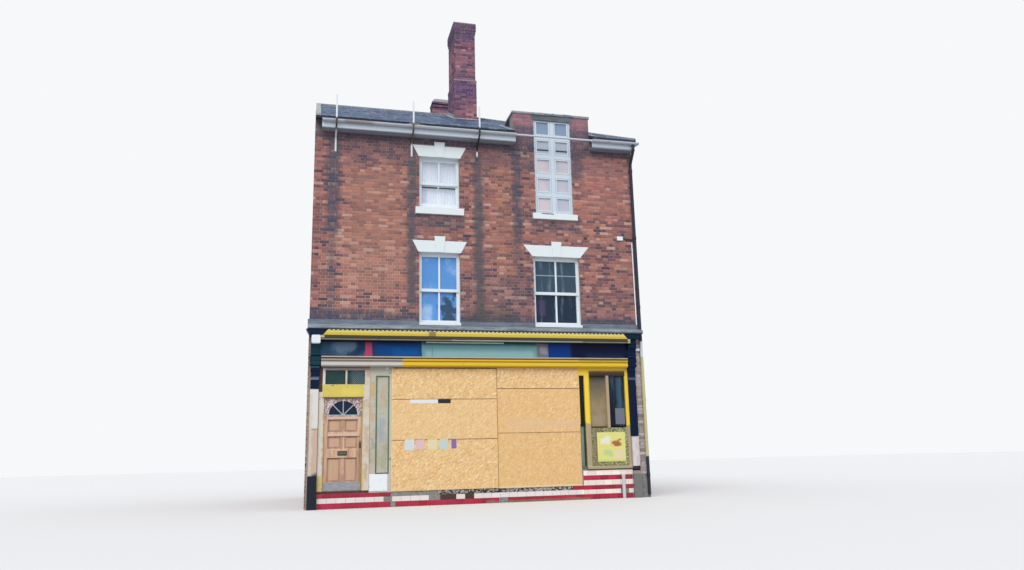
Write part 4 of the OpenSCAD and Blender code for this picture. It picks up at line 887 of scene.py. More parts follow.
# Painted reflections: the sky on the left window, and a dark view with paler streaks on the right one
painted_sky_reflection = blended(tree, drift, 0.5, 0.75, (0.10, 0.30, 0.68), (0.36, 0.57, 0.84))
painted_dark_reflection = blended(tree, upright_drift, 0.50, 0.74, (0.006, 0.022, 0.050), (0.19, 0.27, 0.34))
stair_colour = mixed(tree, cloud, (0.50, 0.50, 0.60), (0.62, 0.57, 0.60))
colour = marked(tree, rear_colour, [
    (painted_sky_reflection, *sky_panes),
    ((0.025, 0.05, 0.09), 3.05, 3.4, 4.16, 4.80, 0.05, 0.9, 0.9),
    # A brighter painted reflection of the sky on the left window
    ((0.48, 0.66, 0.86), 2.55, 2.80, 4.2, 4.55, 0.06, 0.3, 0.5),
    (painted_dark_reflection, *dark_panes),
    # Painted reflections on the right window: a paler upper part and a thin bright line
    ((0.08, 0.16, 0.22), 5.2, 6.6, 4.98, 6.0, 0.05, 0.2, 0.35),
    ((0.42, 0.50, 0.56), 5.2, 6.6, 5.385, 5.405, 0.006, 0.01, 0.8),
    ((0.10, 0.06, 0.16), 5.46, 5.62, 4.40, 4.78, 0.05, 0.05, 0.6),
    ((0.55, 0.60, 0.68), *net_panes),
    # Painted shade in the gap at the meeting rail
    ((0.05, 0.065, 0.085), *sash_gap, 0.004),
    (stair_colour, *stair_x, 6.9, 9.5),
    ((0.23, 0.32, 0.44), *stair_x, 9.03, 9.5),
    ((0.40, 0.46, 0.54), *stair_x, 8.5, 9.02, 0.02, 0.05, 0.8),
    ((0.035, 0.05, 0.075), *stair_x, 8.655, 8.70, 0.008),
    ((0.66, 0.53, 0.46), *stair_x, 8.06, 8.16, 0.03, 0.12, 0.6),
    ((0.68, 0.55, 0.55), 5.4, 5.9, 7.0, 7.25, 0.08, 0.3, 0.5)])
at_street = maths(tree, "LESS_THAN", parts_of(tree, where)[1], 0.0)
colour = mixed(tree, at_street, rear_colour, colour)
clear = patch_mask(tree, *net_panes, 0.01)
clear = times(tree, clear, minus(tree, 1.0, patch_mask(tree, *sash_gap, 0.004)))
clear = times(tree, times(tree, clear, at_street), 0.86)
feed(tree, tree.nodes["Principled BSDF"].inputs["Alpha"], minus(tree, 1.0, clear))
dress(finished(made, colour, 0.07, noise(tree, where, 2.5, 2.0), 0.003), "window_glass")


# Net curtain
# One width of white polyester net, gathered on a plastic-covered wire behind the upper left
# window and hanging free to the sill. The net and its wire have a faint painted glow.

net_left, net_right, net_foot, net_head = 2.503, 3.447, 7.02, 8.215
net_h, net_y, net_t = net_head - net_foot, 0.275, 0.0006
wire_r, wire_l, wire_z = 0.005, 0.985, 8.218
fold_rate, top_depth, more_depth, hem_rise = 96, 0.0045, 0.0075, 0.004
made, tree, where = new_material("net", specular=0.2)
weave = maths(tree, "SINE", times(tree, parts_of(tree, where)[2], 900.0))
colour = mixed(tree, noise(tree, stretched(tree, where, (16, 16, 0.5)), 1.0, 3.0), (0.66, 0.72, 0.80),
               (0.92, 0.94, 0.97))
colour = patched(tree, colour, (0.50, 0.48, 0.72), 2.50, 2.70, 7.0, 7.62, 0.03, 0.05, 0.7)
# A faint painted glow on the net and its wire, though neither is a lamp
feed(tree, tree.nodes["Principled BSDF"].inputs["Emission Color"], (0.55, 0.60, 0.68))
tree.nodes["Principled BSDF"].inputs["Emission Strength"].default_value = 0.3
net_cloth_with_painted_glow = finished(made, colour, 0.9, weave, 0.0004)
bm = bmesh.new()
to_wall = Matrix.Translation(((net_left + net_right) / 2, net_y, (net_foot + net_head) / 2)) @ (
    Matrix.Diagonal((net_right - net_left, 1, net_h, 1))) @ Matrix.Rotation(math.pi / 2, 4, "X")
bmesh.ops.create_grid(bm, x_segments=220, y_segments=16, size=0.5, matrix=to_wall)
for vert in bm.verts:
    x, down = vert.co.x, (net_head - vert.co.z) / net_h
    fold = math.sin(fold_rate * x + 1.6 * math.sin(7 * x) + 0.5 * down * math.sin(17 * x))
    vert.co.y += (top_depth + more_depth * down) * fold
    vert.co.z += hem_rise * fold * down
net_w = sum(face.calc_area() for face in bm.faces) / net_h
bmesh.ops.solidify(bm, geom=list(bm.faces), thickness=net_t)
bmesh.ops.recalc_face_normals(bm, faces=bm.faces)
bm.transform(street_face)
net = piece("net_folds", bm, net_cloth_with_painted_glow, smooth=True)
bm = bmesh.new()
to_wall = Matrix.Translation((left_window, net_y, wire_z)) @ Matrix.Rotation(math.pi / 2, 4, "Y")
bmesh.ops.create_cone(bm, cap_ends=True, segments=16, radius1=wire_r, radius2=wire_r, depth=wire_l,
                      matrix=to_wall)
rims = [edge for edge in bm.edges if max(len(face.verts) for face in edge.link_faces) > 4]
bmesh.ops.bevel(bm, geom=rims, offset=0.001, segments=2, profile=0.5, affect="EDGES", material=-1)
bm.transform(street_face)
wire = piece("curtain_wire", bm, net_cloth_with_painted_glow, smooth=True)
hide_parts("net_curtain")


# Shopfront head
# Painted timber: cornice, awning box with a scalloped edge, dark rail, and a fascia that shows
# the patchwork of its earlier paints, over a run moulding. Shade is painted behind the scallops,
# along the top of the fascia and in the hollows of the moulding.

dress(painted("cornice paint", (0.010, 0.018, 0.04), (0.2, 0.17, 0.12), 0.1, 8.0, (0.06, 0.07, 0.09), 0.3),
      "cornice")
dress(painted("awning paint", (0.66, 0.49, 0.065), (0.20, 0.16, 0.08), 0.12, 7.0, (0.42, 0.30, 0.07), 0.3,
              # Painted shade along the top, behind the scallops
              patches=[((0.10, 0.09, 0.05), *whole_front, 3.868, 3.92, 0.002),
                       ((0.86, 0.72, 0.25), *whole_front, 3.83, 3.866, 0.01, 0.03, 0.7),
                       ((0.42, 0.34, 0.13), *whole_front, 3.74, 3.775, 0.006, 0.02, 0.8),
                       ((0.20, 0.16, 0.07), 2.66, 2.82, 3.70, 3.92, 0.02, 0.08, 0.8)]),
      "awning_box")
dress(painted("awning rail", (0.07, 0.065, 0.035), (0.34, 0.31, 0.24), 0.18, 7.0, (0.05, 0.05, 0.045), 0.4,
              0.7, [((0.26, 0.25, 0.17), *whole_front, 3.665, 3.685, 0.004, 0.01),
                    ((0.62, 0.54, 0.22), 0.2, 0.33, 3.70, 3.78, 0.008),
                    ((0.62, 0.55, 0.28), 7.56, 7.8, 3.66, 3.78, 0.008),
                    ((0.45, 0.46, 0.44), 3.2, 6.4, 3.66, 3.69, 0.006, 0.03, 0.5),
                    ((0.03, 0.03, 0.03), *whole_front, 3.70, 3.715, 0.003, 0.008, 0.8)]),
      "awning_rail")

made, tree, _ = new_material("scallop paint")
coat = flaked(tree, (0.84, 0.76, 0.40), (0.30, 0.24, 0.12), 0.15, 12.0)
scallop_paint = finished(made, coat["Color"], 0.6, coat["Height"], 0.001)
bm = bmesh.new()
bmesh.ops.create_circle(bm, cap_ends=True, segments=3, radius=0.5, matrix=Matrix.Rotation(
    math.pi / 2, 4, "X"))
moved = bmesh.ops.extrude_face_region(bm, geom=list(bm.faces))["geom"]
bmesh.ops.translate(bm, vec=(0, 0.006, 0), verts=[v for v in moved if isinstance(v, bmesh.types.BMVert)])
bmesh.ops.recalc_face_normals(bm, faces=bm.faces)
tooth = template("scallop tooth", bm)
teeth = []
x, last_tooth, tooth_y, tooth_z, tooth_h, tooth_step = 0.43, 7.44, -0.307, 3.877, 0.036, 0.0985
while x < last_tooth:
    teeth.append(((x, tooth_y, tooth_z), (random.uniform(0.078, 0.092), 1, tooth_h),
                  (0, random.gauss(0, 0.03), 0), 0.5))
    x += tooth_step
lay("awning_scallops", tooth, teeth, street_face, scallop_paint)

made, tree, _ = new_material("fascia paint")
board_z = (3.2, 3.7)
# Over the old paints, the dark bands along the top of the board (from 3.58 up) are painted shade under the
# rail
colour = marked(tree, (0.035, 0.085, 0.165), [
    ((0.11, 0.17, 0.25), 0.60, 1.00, 3.40, 3.72, 0.08, 0.6, 0.8),
    ((0.014, 0.045, 0.10), 0.2, 0.52, 3.2, 3.72, 0.07, 0.4, 0.7),
    ((0.008, 0.03, 0.085), 0.86, 1.12, 3.26, 3.44, 0.05, 0.4, 0.85),
    ((0.006, 0.022, 0.07), 1.02, 1.24, 3.40, 3.72, 0.05, 0.4, 0.9),
    ((0.0, 0.055, 0.22), 1.30, 2.52, *board_z, 0.008),
    ((0.0, 0.095, 0.33), 1.86, 2.44, 3.28, 3.48, 0.09, 0.3, 0.7),
    ((0.0, 0.022, 0.10), 1.30, 2.52, 3.58, 3.72, 0.05, 0.15, 0.7),
    ((0.012, 0.035, 0.11), 1.30, 1.50, *board_z, 0.06, 0.10, 0.8),
    ((0.43, 0.055, 0.12), 1.235, 1.385, *board_z, 0.008, 0.10),
    ((0.01, 0.02, 0.05), 2.505, 2.525, *board_z, 0.006, 0.01),
    ((0.15, 0.32, 0.34), 2.52, 5.28, *board_z, 0.008, 0.03),
    ((0.28, 0.47, 0.48), 2.6, 5.2, 3.30, 3.46, 0.06, 0.06, 0.8),
    ((0.10, 0.25, 0.26), 2.755, 2.77, *board_z, 0.004),
    ((0.015, 0.09, 0.10), 2.52, 5.28, 3.60, 3.7, 0.045, 0.03),
    ((0.16, 0.16, 0.20), 5.28, 5.56, 3.2, 3.64, 0.01, 0.08),
    ((0.34, 0.33, 0.37), 5.36, 5.52, 3.38, 3.58, 0.03, 0.25, 0.6),
    ((0.0, 0.034, 0.20), 5.56, 6.14, *board_z, 0.01, 0.12),
    ((0.0, 0.003, 0.03), 6.12, 7.8, *board_z, 0.06, 0.10),
    ((0.004, 0.022, 0.055), 6.5, 7.5, 3.30, 3.42, 0.05, 0.15, 0.7),
    ((0.004, 0.012, 0.04), -1.0, 2.5, 3.625, 3.7, 0.015, 0.03, 0.9),
    ((0.82, 0.84, 0.84), 2.62, 4.47, 3.632, 3.7, 0.003, 0.010)])
coat = flaked(tree, colour, (0.16, 0.15, 0.15), 0.07, 7.0)
colour = dirtied(tree, coat["Color"], (0.14, 0.18, 0.20), 0.2, 2.5)
dress(finished(made, colour, 0.45, coat["Height"], 0.001), "fascia_board")

grey_part, yellow_part = (0.2, 2.08), (2.08, 9.0)
# The dark bands from 3.188 to 3.222 and from 3.252 to 3.283 are painted shade in the hollows of the moulding
dress(painted("moulding paint", (0.50, 0.49, 0.46), (0.17, 0.11, 0.06), 0.12, 10.0, (0.20, 0.15, 0.10),
              0.3, 0.5, [
    ((0.78, 0.52, 0.04), *yellow_part, 3.0, 3.285, 0.008, 0.05),
    ((0.60, 0.58, 0.54), *grey_part, 3.10, 3.175, 0.006, 0.01),
    ((0.30, 0.25, 0.19), *grey_part, 3.195, 3.222, 0.004, 0.01),
    ((0.42, 0.38, 0.28), *grey_part, 3.225, 3.25, 0.004, 0.01),
    ((0.11, 0.075, 0.055), 0.2, 2.12, 3.252, 3.283, 0.004, 0.01),
    ((0.22, 0.13, 0.03), *yellow_part, 3.252, 3.283, 0.006, 0.02, 0.85),
    ((0.46, 0.28, 0.03), *yellow_part, 3.188, 3.205, 0.006, 0.01, 0.8),
    ((0.50, 0.42, 0.38), *whole_front, 3.283, 3.32, 0.002, 0.004),
    ((0.30, 0.19, 0.04), 6.3, 9.0, 3.22, 3.30, 0.01, 0.05, 0.4)]), "fascia_moulding")


# Pilasters and consoles
# Moulded softwood in near-black gloss. The left shaft is stripped to bare wood at its middle, the
# right one is pink and white below, and both stand on blocks at the foot.

at_left, at_right = (-1.0, 1.0), (7.0, 9.0)
dress(painted("pilaster paint", (0.0, 0.009, 0.036), (0.22, 0.19, 0.16), 0.08, 9.0, (0.09, 0.10, 0.12),
              0.22, 0.35, [
    ((0.74, 0.72, 0.67), *at_left, 1.72, 2.58, 0.012, 0.06),
    ((0.60, 0.45, 0.33), *at_left, 0.71, 1.74, 0.08, 0.4),
    ((0.66, 0.60, 0.52), 0.02, 0.12, 0.71, 2.5, 0.03, 0.25, 0.8),
    ((0.016, 0.022, 0.035), *at_left, 0.0, 0.71, 0.004),
    ((0.20, 0.22, 0.31), *at_left, 2.79, 2.85, 0.01, 0.01, 0.9),
    ((0.05, 0.12, 0.19), *at_left, 3.06, 3.085, 0.006, 0.005, 0.9),
    ((0.01, 0.05, 0.075), *at_left, 3.10, 3.31, 0.02, 0.05, 0.8),
    ((0.10, 0.15, 0.22), *at_right, 2.79, 2.85, 0.01, 0.01, 0.7),
    ((0.62, 0.54, 0.52), *at_right, 0.735, 1.43, 0.012, 0.08),
    ((0.72, 0.69, 0.70), 7.62, 7.72, 0.74, 1.40, 0.03, 0.2, 0.7),
    ((0.03, 0.03, 0.04), *at_right, 0.66, 0.735, 0.006),
    ((0.19, 0.19, 0.18), *at_right, 0.0, 0.63, 0.004),
    ((0.42, 0.28, 0.26), *at_right, 0.56, 0.62, 0.008, 0.04, 0.8)]), "pilasters")
dress(painted("console paint", (0.0, 0.014, 0.042), (0.04, 0.11, 0.17), 0.13, 12.0,
              (0.025, 0.055, 0.09), 0.3, 0.35,
              [((0.010, 0.060, 0.095), *at_left, 3.34, 3.60, 0.02, 0.05, 0.7)]), "consoles")


# Door bay
# A stripped hardwood door with a glazed fan light in a flaking cream frame, a yellow board over
# it, a patched board with green beads beside it, and small plates of dull steel. Shade is painted
# round the door's sunk panels and under its ledges, with a highlight on the middle ledge.

grain, given, out, where = effect(
    "Wood grain", {"Light": (0.5, 0.4, 0.3, 1.0), "Dark": (0.3, 0.2, 0.1, 1.0),
                   "Run": (20.0, 20.0, 1.5)},
    {"Color": "Color", "Height": "Float"})
run = add(grain, "ShaderNodeVectorMath", {0: where, 1: given["Run"]}, operation="MULTIPLY").outputs[0]
rings = noise(grain, run, 1.0, 6.0, 0.6, 0.8)
fibre = noise(grain, run, 6.0, 3.0, 0.6)
figure = plus(grain, times(grain, rings, 0.7), times(grain, fibre, 0.3))
grain.links.new(blended(grain, figure, 0.34, 0.62, given["Dark"], given["Light"]), out["Color"])
grain.links.new(figure, out["Height"])

made, tree, where = new_material("stripped door", specular=0.3)
wood = placed(tree, grain, {"Light": (0.71, 0.48, 0.33), "Dark": (0.40, 0.22, 0.14),
                            "Run": (18, 18, 1.2)})
# Painted shade round each sunk panel, with a lighter, plainer field inside it
door_marks = []
for foot, head in ((0.57, 1.075), (1.285, 1.54), (1.645, 1.905)):
    for left, right in ((0.46, 0.74), (0.83, 1.10)):
        door_marks += [((0.36, 0.19, 0.125), left - 0.004, right + 0.004, foot - 0.004, head + 0.004,
                        0.010, 0.0, 0.6),
                       ((0.64, 0.42, 0.28), left + 0.034, right - 0.034, foot + 0.034, head - 0.034,
                        0.012, 0.0, 0.7)]
# A pale strip under the fan, a painted highlight on top of the middle ledge, painted shadows under the
# ledges and the letter rail, a dark strip at the right edge and a stain
door_marks += [((0.66, 0.50, 0.37), 0.46, 1.10, 1.925, 1.975, 0.006, 0.0, 0.8),
               ((0.68, 0.51, 0.38), 0.46, 1.15, 1.555, 1.62, 0.01, 0.0, 0.8),
               ((0.18, 0.10, 0.07), 0.46, 1.15, 1.535, 1.548, 0.004, 0.0, 0.8),
               ((0.18, 0.10, 0.07), 0.46, 1.10, 1.905, 1.915, 0.004, 0.0, 0.8),
               ((0.20, 0.11, 0.08), 0.46, 1.09, 1.068, 1.082, 0.004, 0.0, 0.8),
               ((0.16, 0.085, 0.06), 1.145, 1.20, 0.3, 1.45, 0.02, 0.05, 0.5),
               ((0.42, 0.27, 0.20), 0.7, 0.87, 0.4, 0.72, 0.05, 0.15, 0.7)]
old_coat = flaked(tree, (0.30, 0.20, 0.17), (0.66, 0.58, 0.60), 0.5, 26.0)["Color"]
door_marks.append((old_coat, 0.3, 1.3, 1.975, 2.42, 0.006))
colour = marked(tree, wood["Color"], door_marks)
place = parts_of(tree, where)
fan_x, fan_z = 0.785, 2.01
sideways = minus(tree, place[0], fan_x - half_w)
above = minus(tree, place[2], fan_z)
from_hub = maths(tree, "SQRT", plus(tree, times(tree, sideways, sideways), times(tree, above, above)))
in_fan = times(tree, between(tree, from_hub, 0.30, 0.31, 1.0, 0.0), between(tree, above, -0.012, -0.004))
colour = mixed(tree, in_fan, colour, (0.36, 0.41, 0.46))
colour = dirtied(tree, colour, (0.34, 0.20, 0.14), 0.22, 5.0)
dress(finished(made, colour, 0.7, wood["Height"], 0.0015), "door_leaf")

made, tree, where = new_material("door plates", metallic=0.5)
brushed = noise(tree, stretched(tree, where, (2, 2, 30)), 6.0)
colour = blended(tree, brushed, 0.35, 0.65, (0.23, 0.24, 0.27), (0.41, 0.42, 0.45))
colour = marked(tree, colour, [
    ((0.05, 0.055, 0.045), 0.66, 0.90, 1.1, 1.26, 0.002),
    ((0.12, 0.13, 0.10), 0.70, 0.865, 1.155, 1.205, 0.006),
    ((0.07, 0.06, 0.06), 1.1, 1.2, 1.2, 1.5, 0.002)])
dress(finished(made, dirtied(tree, colour, (0.20, 0.17, 0.16), 0.3, 7.0), 0.45), "door_fittings")

door_frame_marks = [
    ((0.54, 0.38, 0.25), 1.24, 1.36, 0.6, 0.95, 0.06, 0.6, 0.8),
    ((0.56, 0.40, 0.26), 1.24, 1.36, 1.25, 1.70, 0.06, 0.6, 0.7),
    ((0.70, 0.66, 0.58), 0.25, 0.33, 0.3, 3.1, 0.01, 0.03, 0.8),
    ((0.66, 0.50, 0.16), 0.25, 0.37, 0.3, 0.70, 0.02, 0.1, 0.9),
    ((0.66, 0.50, 0.16), 1.205, 1.25, 0.3, 0.80, 0.02, 0.1, 0.9),
    ((0.60, 0.47, 0.12), 1.20, 1.225, 0.3, 2.42, 0.006, 0.02, 0.6),
    ((0.09, 0.045, 0.035), 0.24, 0.325, 2.52, 3.09, 0.006, 0.02),
    ((0.72, 0.69, 0.62), 0.325, 0.385, 2.45, 3.03, 0.006, 0.01),
    ((0.70, 0.57, 0.12), 0.325, 1.23, 2.41, 2.685, 0.006, 0.02),
    ((0.80, 0.66, 0.16), 0.75, 1.15, 2.46, 2.62, 0.06, 0.2, 0.6),
    ((0.16, 0.10, 0.06), 0.33, 1.23, 2.385, 2.412, 0.004, 0.01),
    ((0.20, 0.15, 0.15), 0.30, 1.37, 3.055, 3.10, 0.004, 0.01),
    ((0.38, 0.31, 0.33), 0.38, 1.37, 3.015, 3.055, 0.006, 0.02),
    ((0.10, 0.035, 0.04), 0.2, 1.40, 0.3, 0.375, 0.006)]
made, tree, _ = new_material("door frame paint")
colour = dirtied(tree, (0.68, 0.62, 0.52), (0.58, 0.40, 0.23), 0.6, 5.0)
dress(paint_over(made, tree, colour, (0.36, 0.27, 0.20), 0.36, 12.0, (0.27, 0.22, 0.17), 0.3, 0.5,
                 door_frame_marks), "door_frame")

side_marks = [
    ((0.62, 0.43, 0.22), 1.37, 1.49, 2.40, 2.75, 0.04, 0.6, 0.8),
    ((0.60, 0.44, 0.24), 1.40, 1.50, 1.85, 2.20, 0.04, 0.6, 0.8),
    ((0.34, 0.36, 0.30), 1.38, 1.50, 1.00, 1.55, 0.05, 0.6, 0.75),
    ((0.58, 0.47, 0.40), 1.37, 1.50, 0.72, 0.96, 0.04, 0.4, 0.7),
    ((0.44, 0.45, 0.37), 1.54, 1.77, 0.73, 2.85, 0.01, 0.02, 0.45),
    ((0.52, 0.40, 0.22), 1.60, 1.74, 2.15, 2.62, 0.05, 0.8, 0.65),
    ((0.33, 0.41, 0.46), 1.57, 1.74, 1.42, 1.95, 0.06, 0.8, 0.7),
    ((0.37, 0.38, 0.24), 1.56, 1.75, 0.80, 1.30, 0.06, 0.7, 0.6),
    ((0.60, 0.57, 0.50), 1.36, 1.86, 2.88, 3.10, 0.02, 0.1, 0.7),
    ((0.62, 0.58, 0.52), 1.80, 1.86, 0.32, 3.0, 0.008, 0.05, 0.8),
    ((0.85, 0.89, 0.92), 1.37, 1.775, 0.345, 0.715, 0.002)]
made, tree, _ = new_material("side board paint")
colour = dirtied(tree, (0.57, 0.54, 0.46), (0.56, 0.41, 0.24), 0.6, 4.0)
dress(paint_over(made, tree, colour, (0.30, 0.25, 0.18), 0.36, 13.0, (0.20, 0.22, 0.18), 0.32, 0.65,
                 side_marks), "side_panel")

green_bead = painted("green bead paint", (0.09, 0.16, 0.10), (0.25, 0.22, 0.15), 0.2, 14.0,
                     (0.04, 0.06, 0.05), 0.35)
bead_back, bead_front = -0.0205, -0.032
# Left, right, foot and head of the two long beads and the two short ones between them
bead_boxes = [((a, bead_front, c), (b, bead_back, d)) for a, b, c, d in (
    (1.500, 1.528, 0.72, 2.885), (1.529, 1.80, 2.855, 2.885), (1.774, 1.800, 0.72, 2.853),
    (1.529, 1.773, 0.72, 0.742))]
bars("side_panel_beads", bead_boxes, green_bead, 0.004)


# Shop windows
# A yellow frame with dark glass at its right, and a brown board and a mosaic-painted panel in
# the last bay.

sill_x = (6.3, 7.7)
dress(painted("shop frame paint", (0.93, 0.65, 0.065), (0.38, 0.30, 0.20), 0.1, 12.0,
              (0.30, 0.21, 0.09), 0.25, 0.5, [
    ((0.45, 0.35, 0.23), 6.46, 6.62, 0.6, 1.74, 0.015, 0.12),
    ((0.46, 0.36, 0.24), 7.49, 7.64, 0.6, 1.70, 0.015, 0.12),
    ((0.46, 0.35, 0.23), 7.025, 7.105, 0.6, 2.90, 0.004),
    ((0.07, 0.042, 0.028), 6.60, 7.525, 2.895, 3.008, 0.004),
    ((0.26, 0.18, 0.10), 6.60, 7.525, 2.975, 3.02, 0.01, 0.02, 0.7),
    ((0.50, 0.41, 0.24), *sill_x, 0.74, 0.765, 0.02, 0.05),
    ((0.42, 0.35, 0.22), *sill_x, 0.685, 0.75, 0.006, 0.02),
    ((0.05, 0.045, 0.04), *sill_x, 0.6, 0.688, 0.004, 0.01),
    ((0.12, 0.16, 0.11), 6.3, 6.47, 0.6, 1.75, 0.008, 0.05),
    ((0.45, 0.42, 0.10), 6.44, 6.50, 1.3, 1.80, 0.02, 0.10, 0.7),
    ((0.52, 0.36, 0.03), 6.575, 6.60, 1.7, 3.0, 0.004, 0.01, 0.7)]), "shop_window_frame")

made, tree, where = new_material("shop pane", specular=0.2)
drift = noise(tree, stretched(tree, where, (10, 10, 0.8)), 1.0, 5.0, 0.6)
teal = mixed(tree, noise(tree, where, 2.5, 5.0, 0.6, 0.8), (0.008, 0.035, 0.04), (0.045, 0.10, 0.095))
dark = blended(tree, drift, 0.48, 0.68, (0.002, 0.006, 0.018), (0.03, 0.085, 0.14))
colour = patched(tree, (0.004, 0.008, 0.012), teal, 0.0, 1.4, 2.6, 3.1)
place = parts_of(tree, where)
stripes = maths(tree, "SINE", times(tree, minus(tree, place[0], place[2]), 130.0))
stripes = times(tree, between(tree, stripes, 0.45, 0.85), 0.5)
shine = times(tree, stripes, patch_mask(tree, 0.93, 1.27, 2.68, 3.02, 0.05, 0.35))
colour = marked(tree, mixed(tree, shine, colour, (0.42, 0.52, 0.56)), [
    (dark, 7.0, 7.6, 1.6, 2.95),
    ((0.05, 0.13, 0.20), 7.30, 7.44, 2.1, 2.85, 0.04, 0.10, 0.6),
    ((0.16, 0.18, 0.22), 7.255, 7.50, 1.73, 2.11, 0.004),
    ((0.20, 0.26, 0.20), 6.3, 6.425, 0.7, 1.68, 0.004),
    ((0.30, 0.37, 0.30), 6.35, 6.39, 0.9, 1.60, 0.02, 0.10, 0.7),
    ((0.02, 0.05, 0.04), 6.425, 6.49, 0.7, 1.68, 0.004),
    ((0.007, 0.020, 0.048), 0.40, 1.20, 1.95, 2.40, 0.004)])
dress(finished(made, colour, 0.08, noise(tree, where, 3.0, 2.0), 0.002), "shop_glass", "door_fanlight")

made, tree, where = new_material("window boards", specular=0.25)
rough = noise(tree, where, 6.0, 5.0, 0.6)
brown = blended(tree, rough, 0.2, 0.8, (0.25, 0.19, 0.11), (0.34, 0.27, 0.165))
brown = marked(tree, brown, [
    ((0.12, 0.10, 0.075), 6.5, 7.1, 2.45, 3.2, 0.25, 0.05, 0.8),
    ((0.015, 0.022, 0.03), 6.5, 7.1, 2.80, 3.2, 0.12, 0.05, 0.9),
    ((0.40, 0.32, 0.20), 6.62, 6.95, 1.65, 1.95, 0.06, 0.4, 0.5)])
cells = add(tree, "ShaderNodeTexVoronoi", {"Vector": where, "Scale": 48.0})
chips = parts_of(tree, cells.outputs["Color"])[0]
mosaic = colours(tree, chips, [(0.0, (0.06, 0.06, 0.035)), (0.3, (0.16, 0.17, 0.07)),
                               (0.6, (0.30, 0.30, 0.13)), (0.85, (0.44, 0.44, 0.24)),
                               (1.0, (0.50, 0.48, 0.34))])
mosaic = patched(tree, mosaic, (0.20, 0.155, 0.09), 6.60, 6.78, 0.7, 1.70, 0.03, 0.25, 0.5)
colour = patched(tree, brown, mosaic, 6.5, 7.7, 0.7, 1.655)
dress(finished(made, colour, 0.75, plus(tree, rough, chips), 0.0015), "window_panels")
placard_marks = [((0.66, 0.64, 0.22), 6.70, 7.47, 0.80, 0.90, 0.02, 0.1, 0.8),
                 ((0.82, 0.80, 0.66), 6.84, 7.06, 1.28, 1.42, 0.03, 0.3),
                 ((0.42, 0.15, 0.08), 7.14, 7.32, 1.20, 1.36, 0.02, 0.35),
                 ((0.52, 0.66, 0.28), 6.86, 7.12, 0.97, 1.12, 0.03, 0.3),
                 ((0.80, 0.66, 0.44), 7.16, 7.36, 0.94, 1.08, 0.03, 0.3)]
placard = painted("placard paint", (0.76, 0.72, 0.24), (0.40, 0.40, 0.16), 0.14, 11.0,
                  (0.52, 0.50, 0.20), 0.35, 0.5, placard_marks)
bars("placard", [((6.73, -0.0615, 0.853), (7.445, -0.0563, 1.540))], placard, 0.002)


# Strand board sheets
# Six sheets of 18 mm oriented strand board screwed over the two wide windows, with blank paper
# notices pasted on the left ones. A shadow is painted along the top of the left ones, under the moulding.

made, tree, where = new_material("strand board", specular=0.25)
colour = (0.86, 0.56, 0.25)
height = None
for turn, shift, light, dark in ((0.25, 0.0, (0.96, 0.67, 0.32), (0.64, 0.37, 0.14)),
                                 (-0.75, 7.0, (0.93, 0.62, 0.28), (0.68, 0.40, 0.16)),
                                 (1.15, 13.0, (1.0, 0.76, 0.42), (0.60, 0.34, 0.14)),
                                 (-1.35, 19.0, (0.92, 0.61, 0.28), (0.72, 0.44, 0.18)),
                                 (0.65, 23.0, (1.0, 0.80, 0.50), (0.56, 0.31, 0.13))):
    strand = stretched(tree, where, (1, 1, 1), (0, turn, 0), (shift, 0, shift))
    strand = stretched(tree, strand, (15, 15, 50))
    cells = add(tree, "ShaderNodeTexVoronoi", {"Vector": strand, "Scale": 1.0})
    picks = parts_of(tree, cells.outputs["Color"])
    shade = mixed(tree, picks[0], dark, light)
    colour = blended(tree, picks[1], 0.60, 0.64, colour, shade)
    height = picks[0] if height is None else plus(tree, height, picks[0])
colour = mixed(tree, 0.25, colour, (0.87, 0.57, 0.26))
left_boards, right_boards = (1.84, 4.3), (4.3, 6.4)
colour = marked(tree, colour, [
    ((0.84, 0.58, 0.29), *left_boards, 1.44, 2.35, 0.01, 0.0, 0.35),
    ((0.76, 0.45, 0.18), *right_boards, 0.3, 1.56, 0.01, 0.0, 0.4),
    ((0.80, 0.48, 0.20), *right_boards, 1.56, 2.59, 0.01, 0.0, 0.45),
    ((0.78, 0.52, 0.34), 4.5, 6.3, 1.62, 1.86, 0.08, 0.5, 0.45),
    # Painted shadow under the moulding along the top of the left sheets
    ((0.03, 0.02, 0.012), 1.80, 4.3, 3.050, 3.12, 0.004, 0.006),
    ((0.30, 0.15, 0.06), *left_boards, 1.430, 1.448, 0.005, 0.006),
    ((0.30, 0.15, 0.06), *left_boards, 2.340, 2.358, 0.005, 0.014),
    ((0.30, 0.15, 0.06), *right_boards, 1.552, 1.566, 0.005, 0.010),
    ((0.26, 0.13, 0.05), *right_boards, 2.578, 2.596, 0.005, 0.016),
    ((0.40, 0.21, 0.08), 4.290, 4.306, 0.3, 3.1, 0.003, 0.004),
    ((0.86, 0.68, 0.42), 1.84, 1.875, 0.3, 3.1, 0.008, 0.01, 0.5),
    ((0.88, 0.70, 0.46), *right_boards, 0.3, 0.36, 0.02, 0.03, 0.6),
    ((0.60, 0.40, 0.20), *left_boards, 2.05, 2.058, 0.004, 0.01, 0.4),
    ((0.60, 0.38, 0.19), *right_boards, 2.095, 2.105, 0.004, 0.02, 0.35)])
colour = dirtied(tree, colour, (0.64, 0.42, 0.21), 0.2, 1.2)
dress(finished(made, colour, 0.75, height, 0.0006), "boarding")

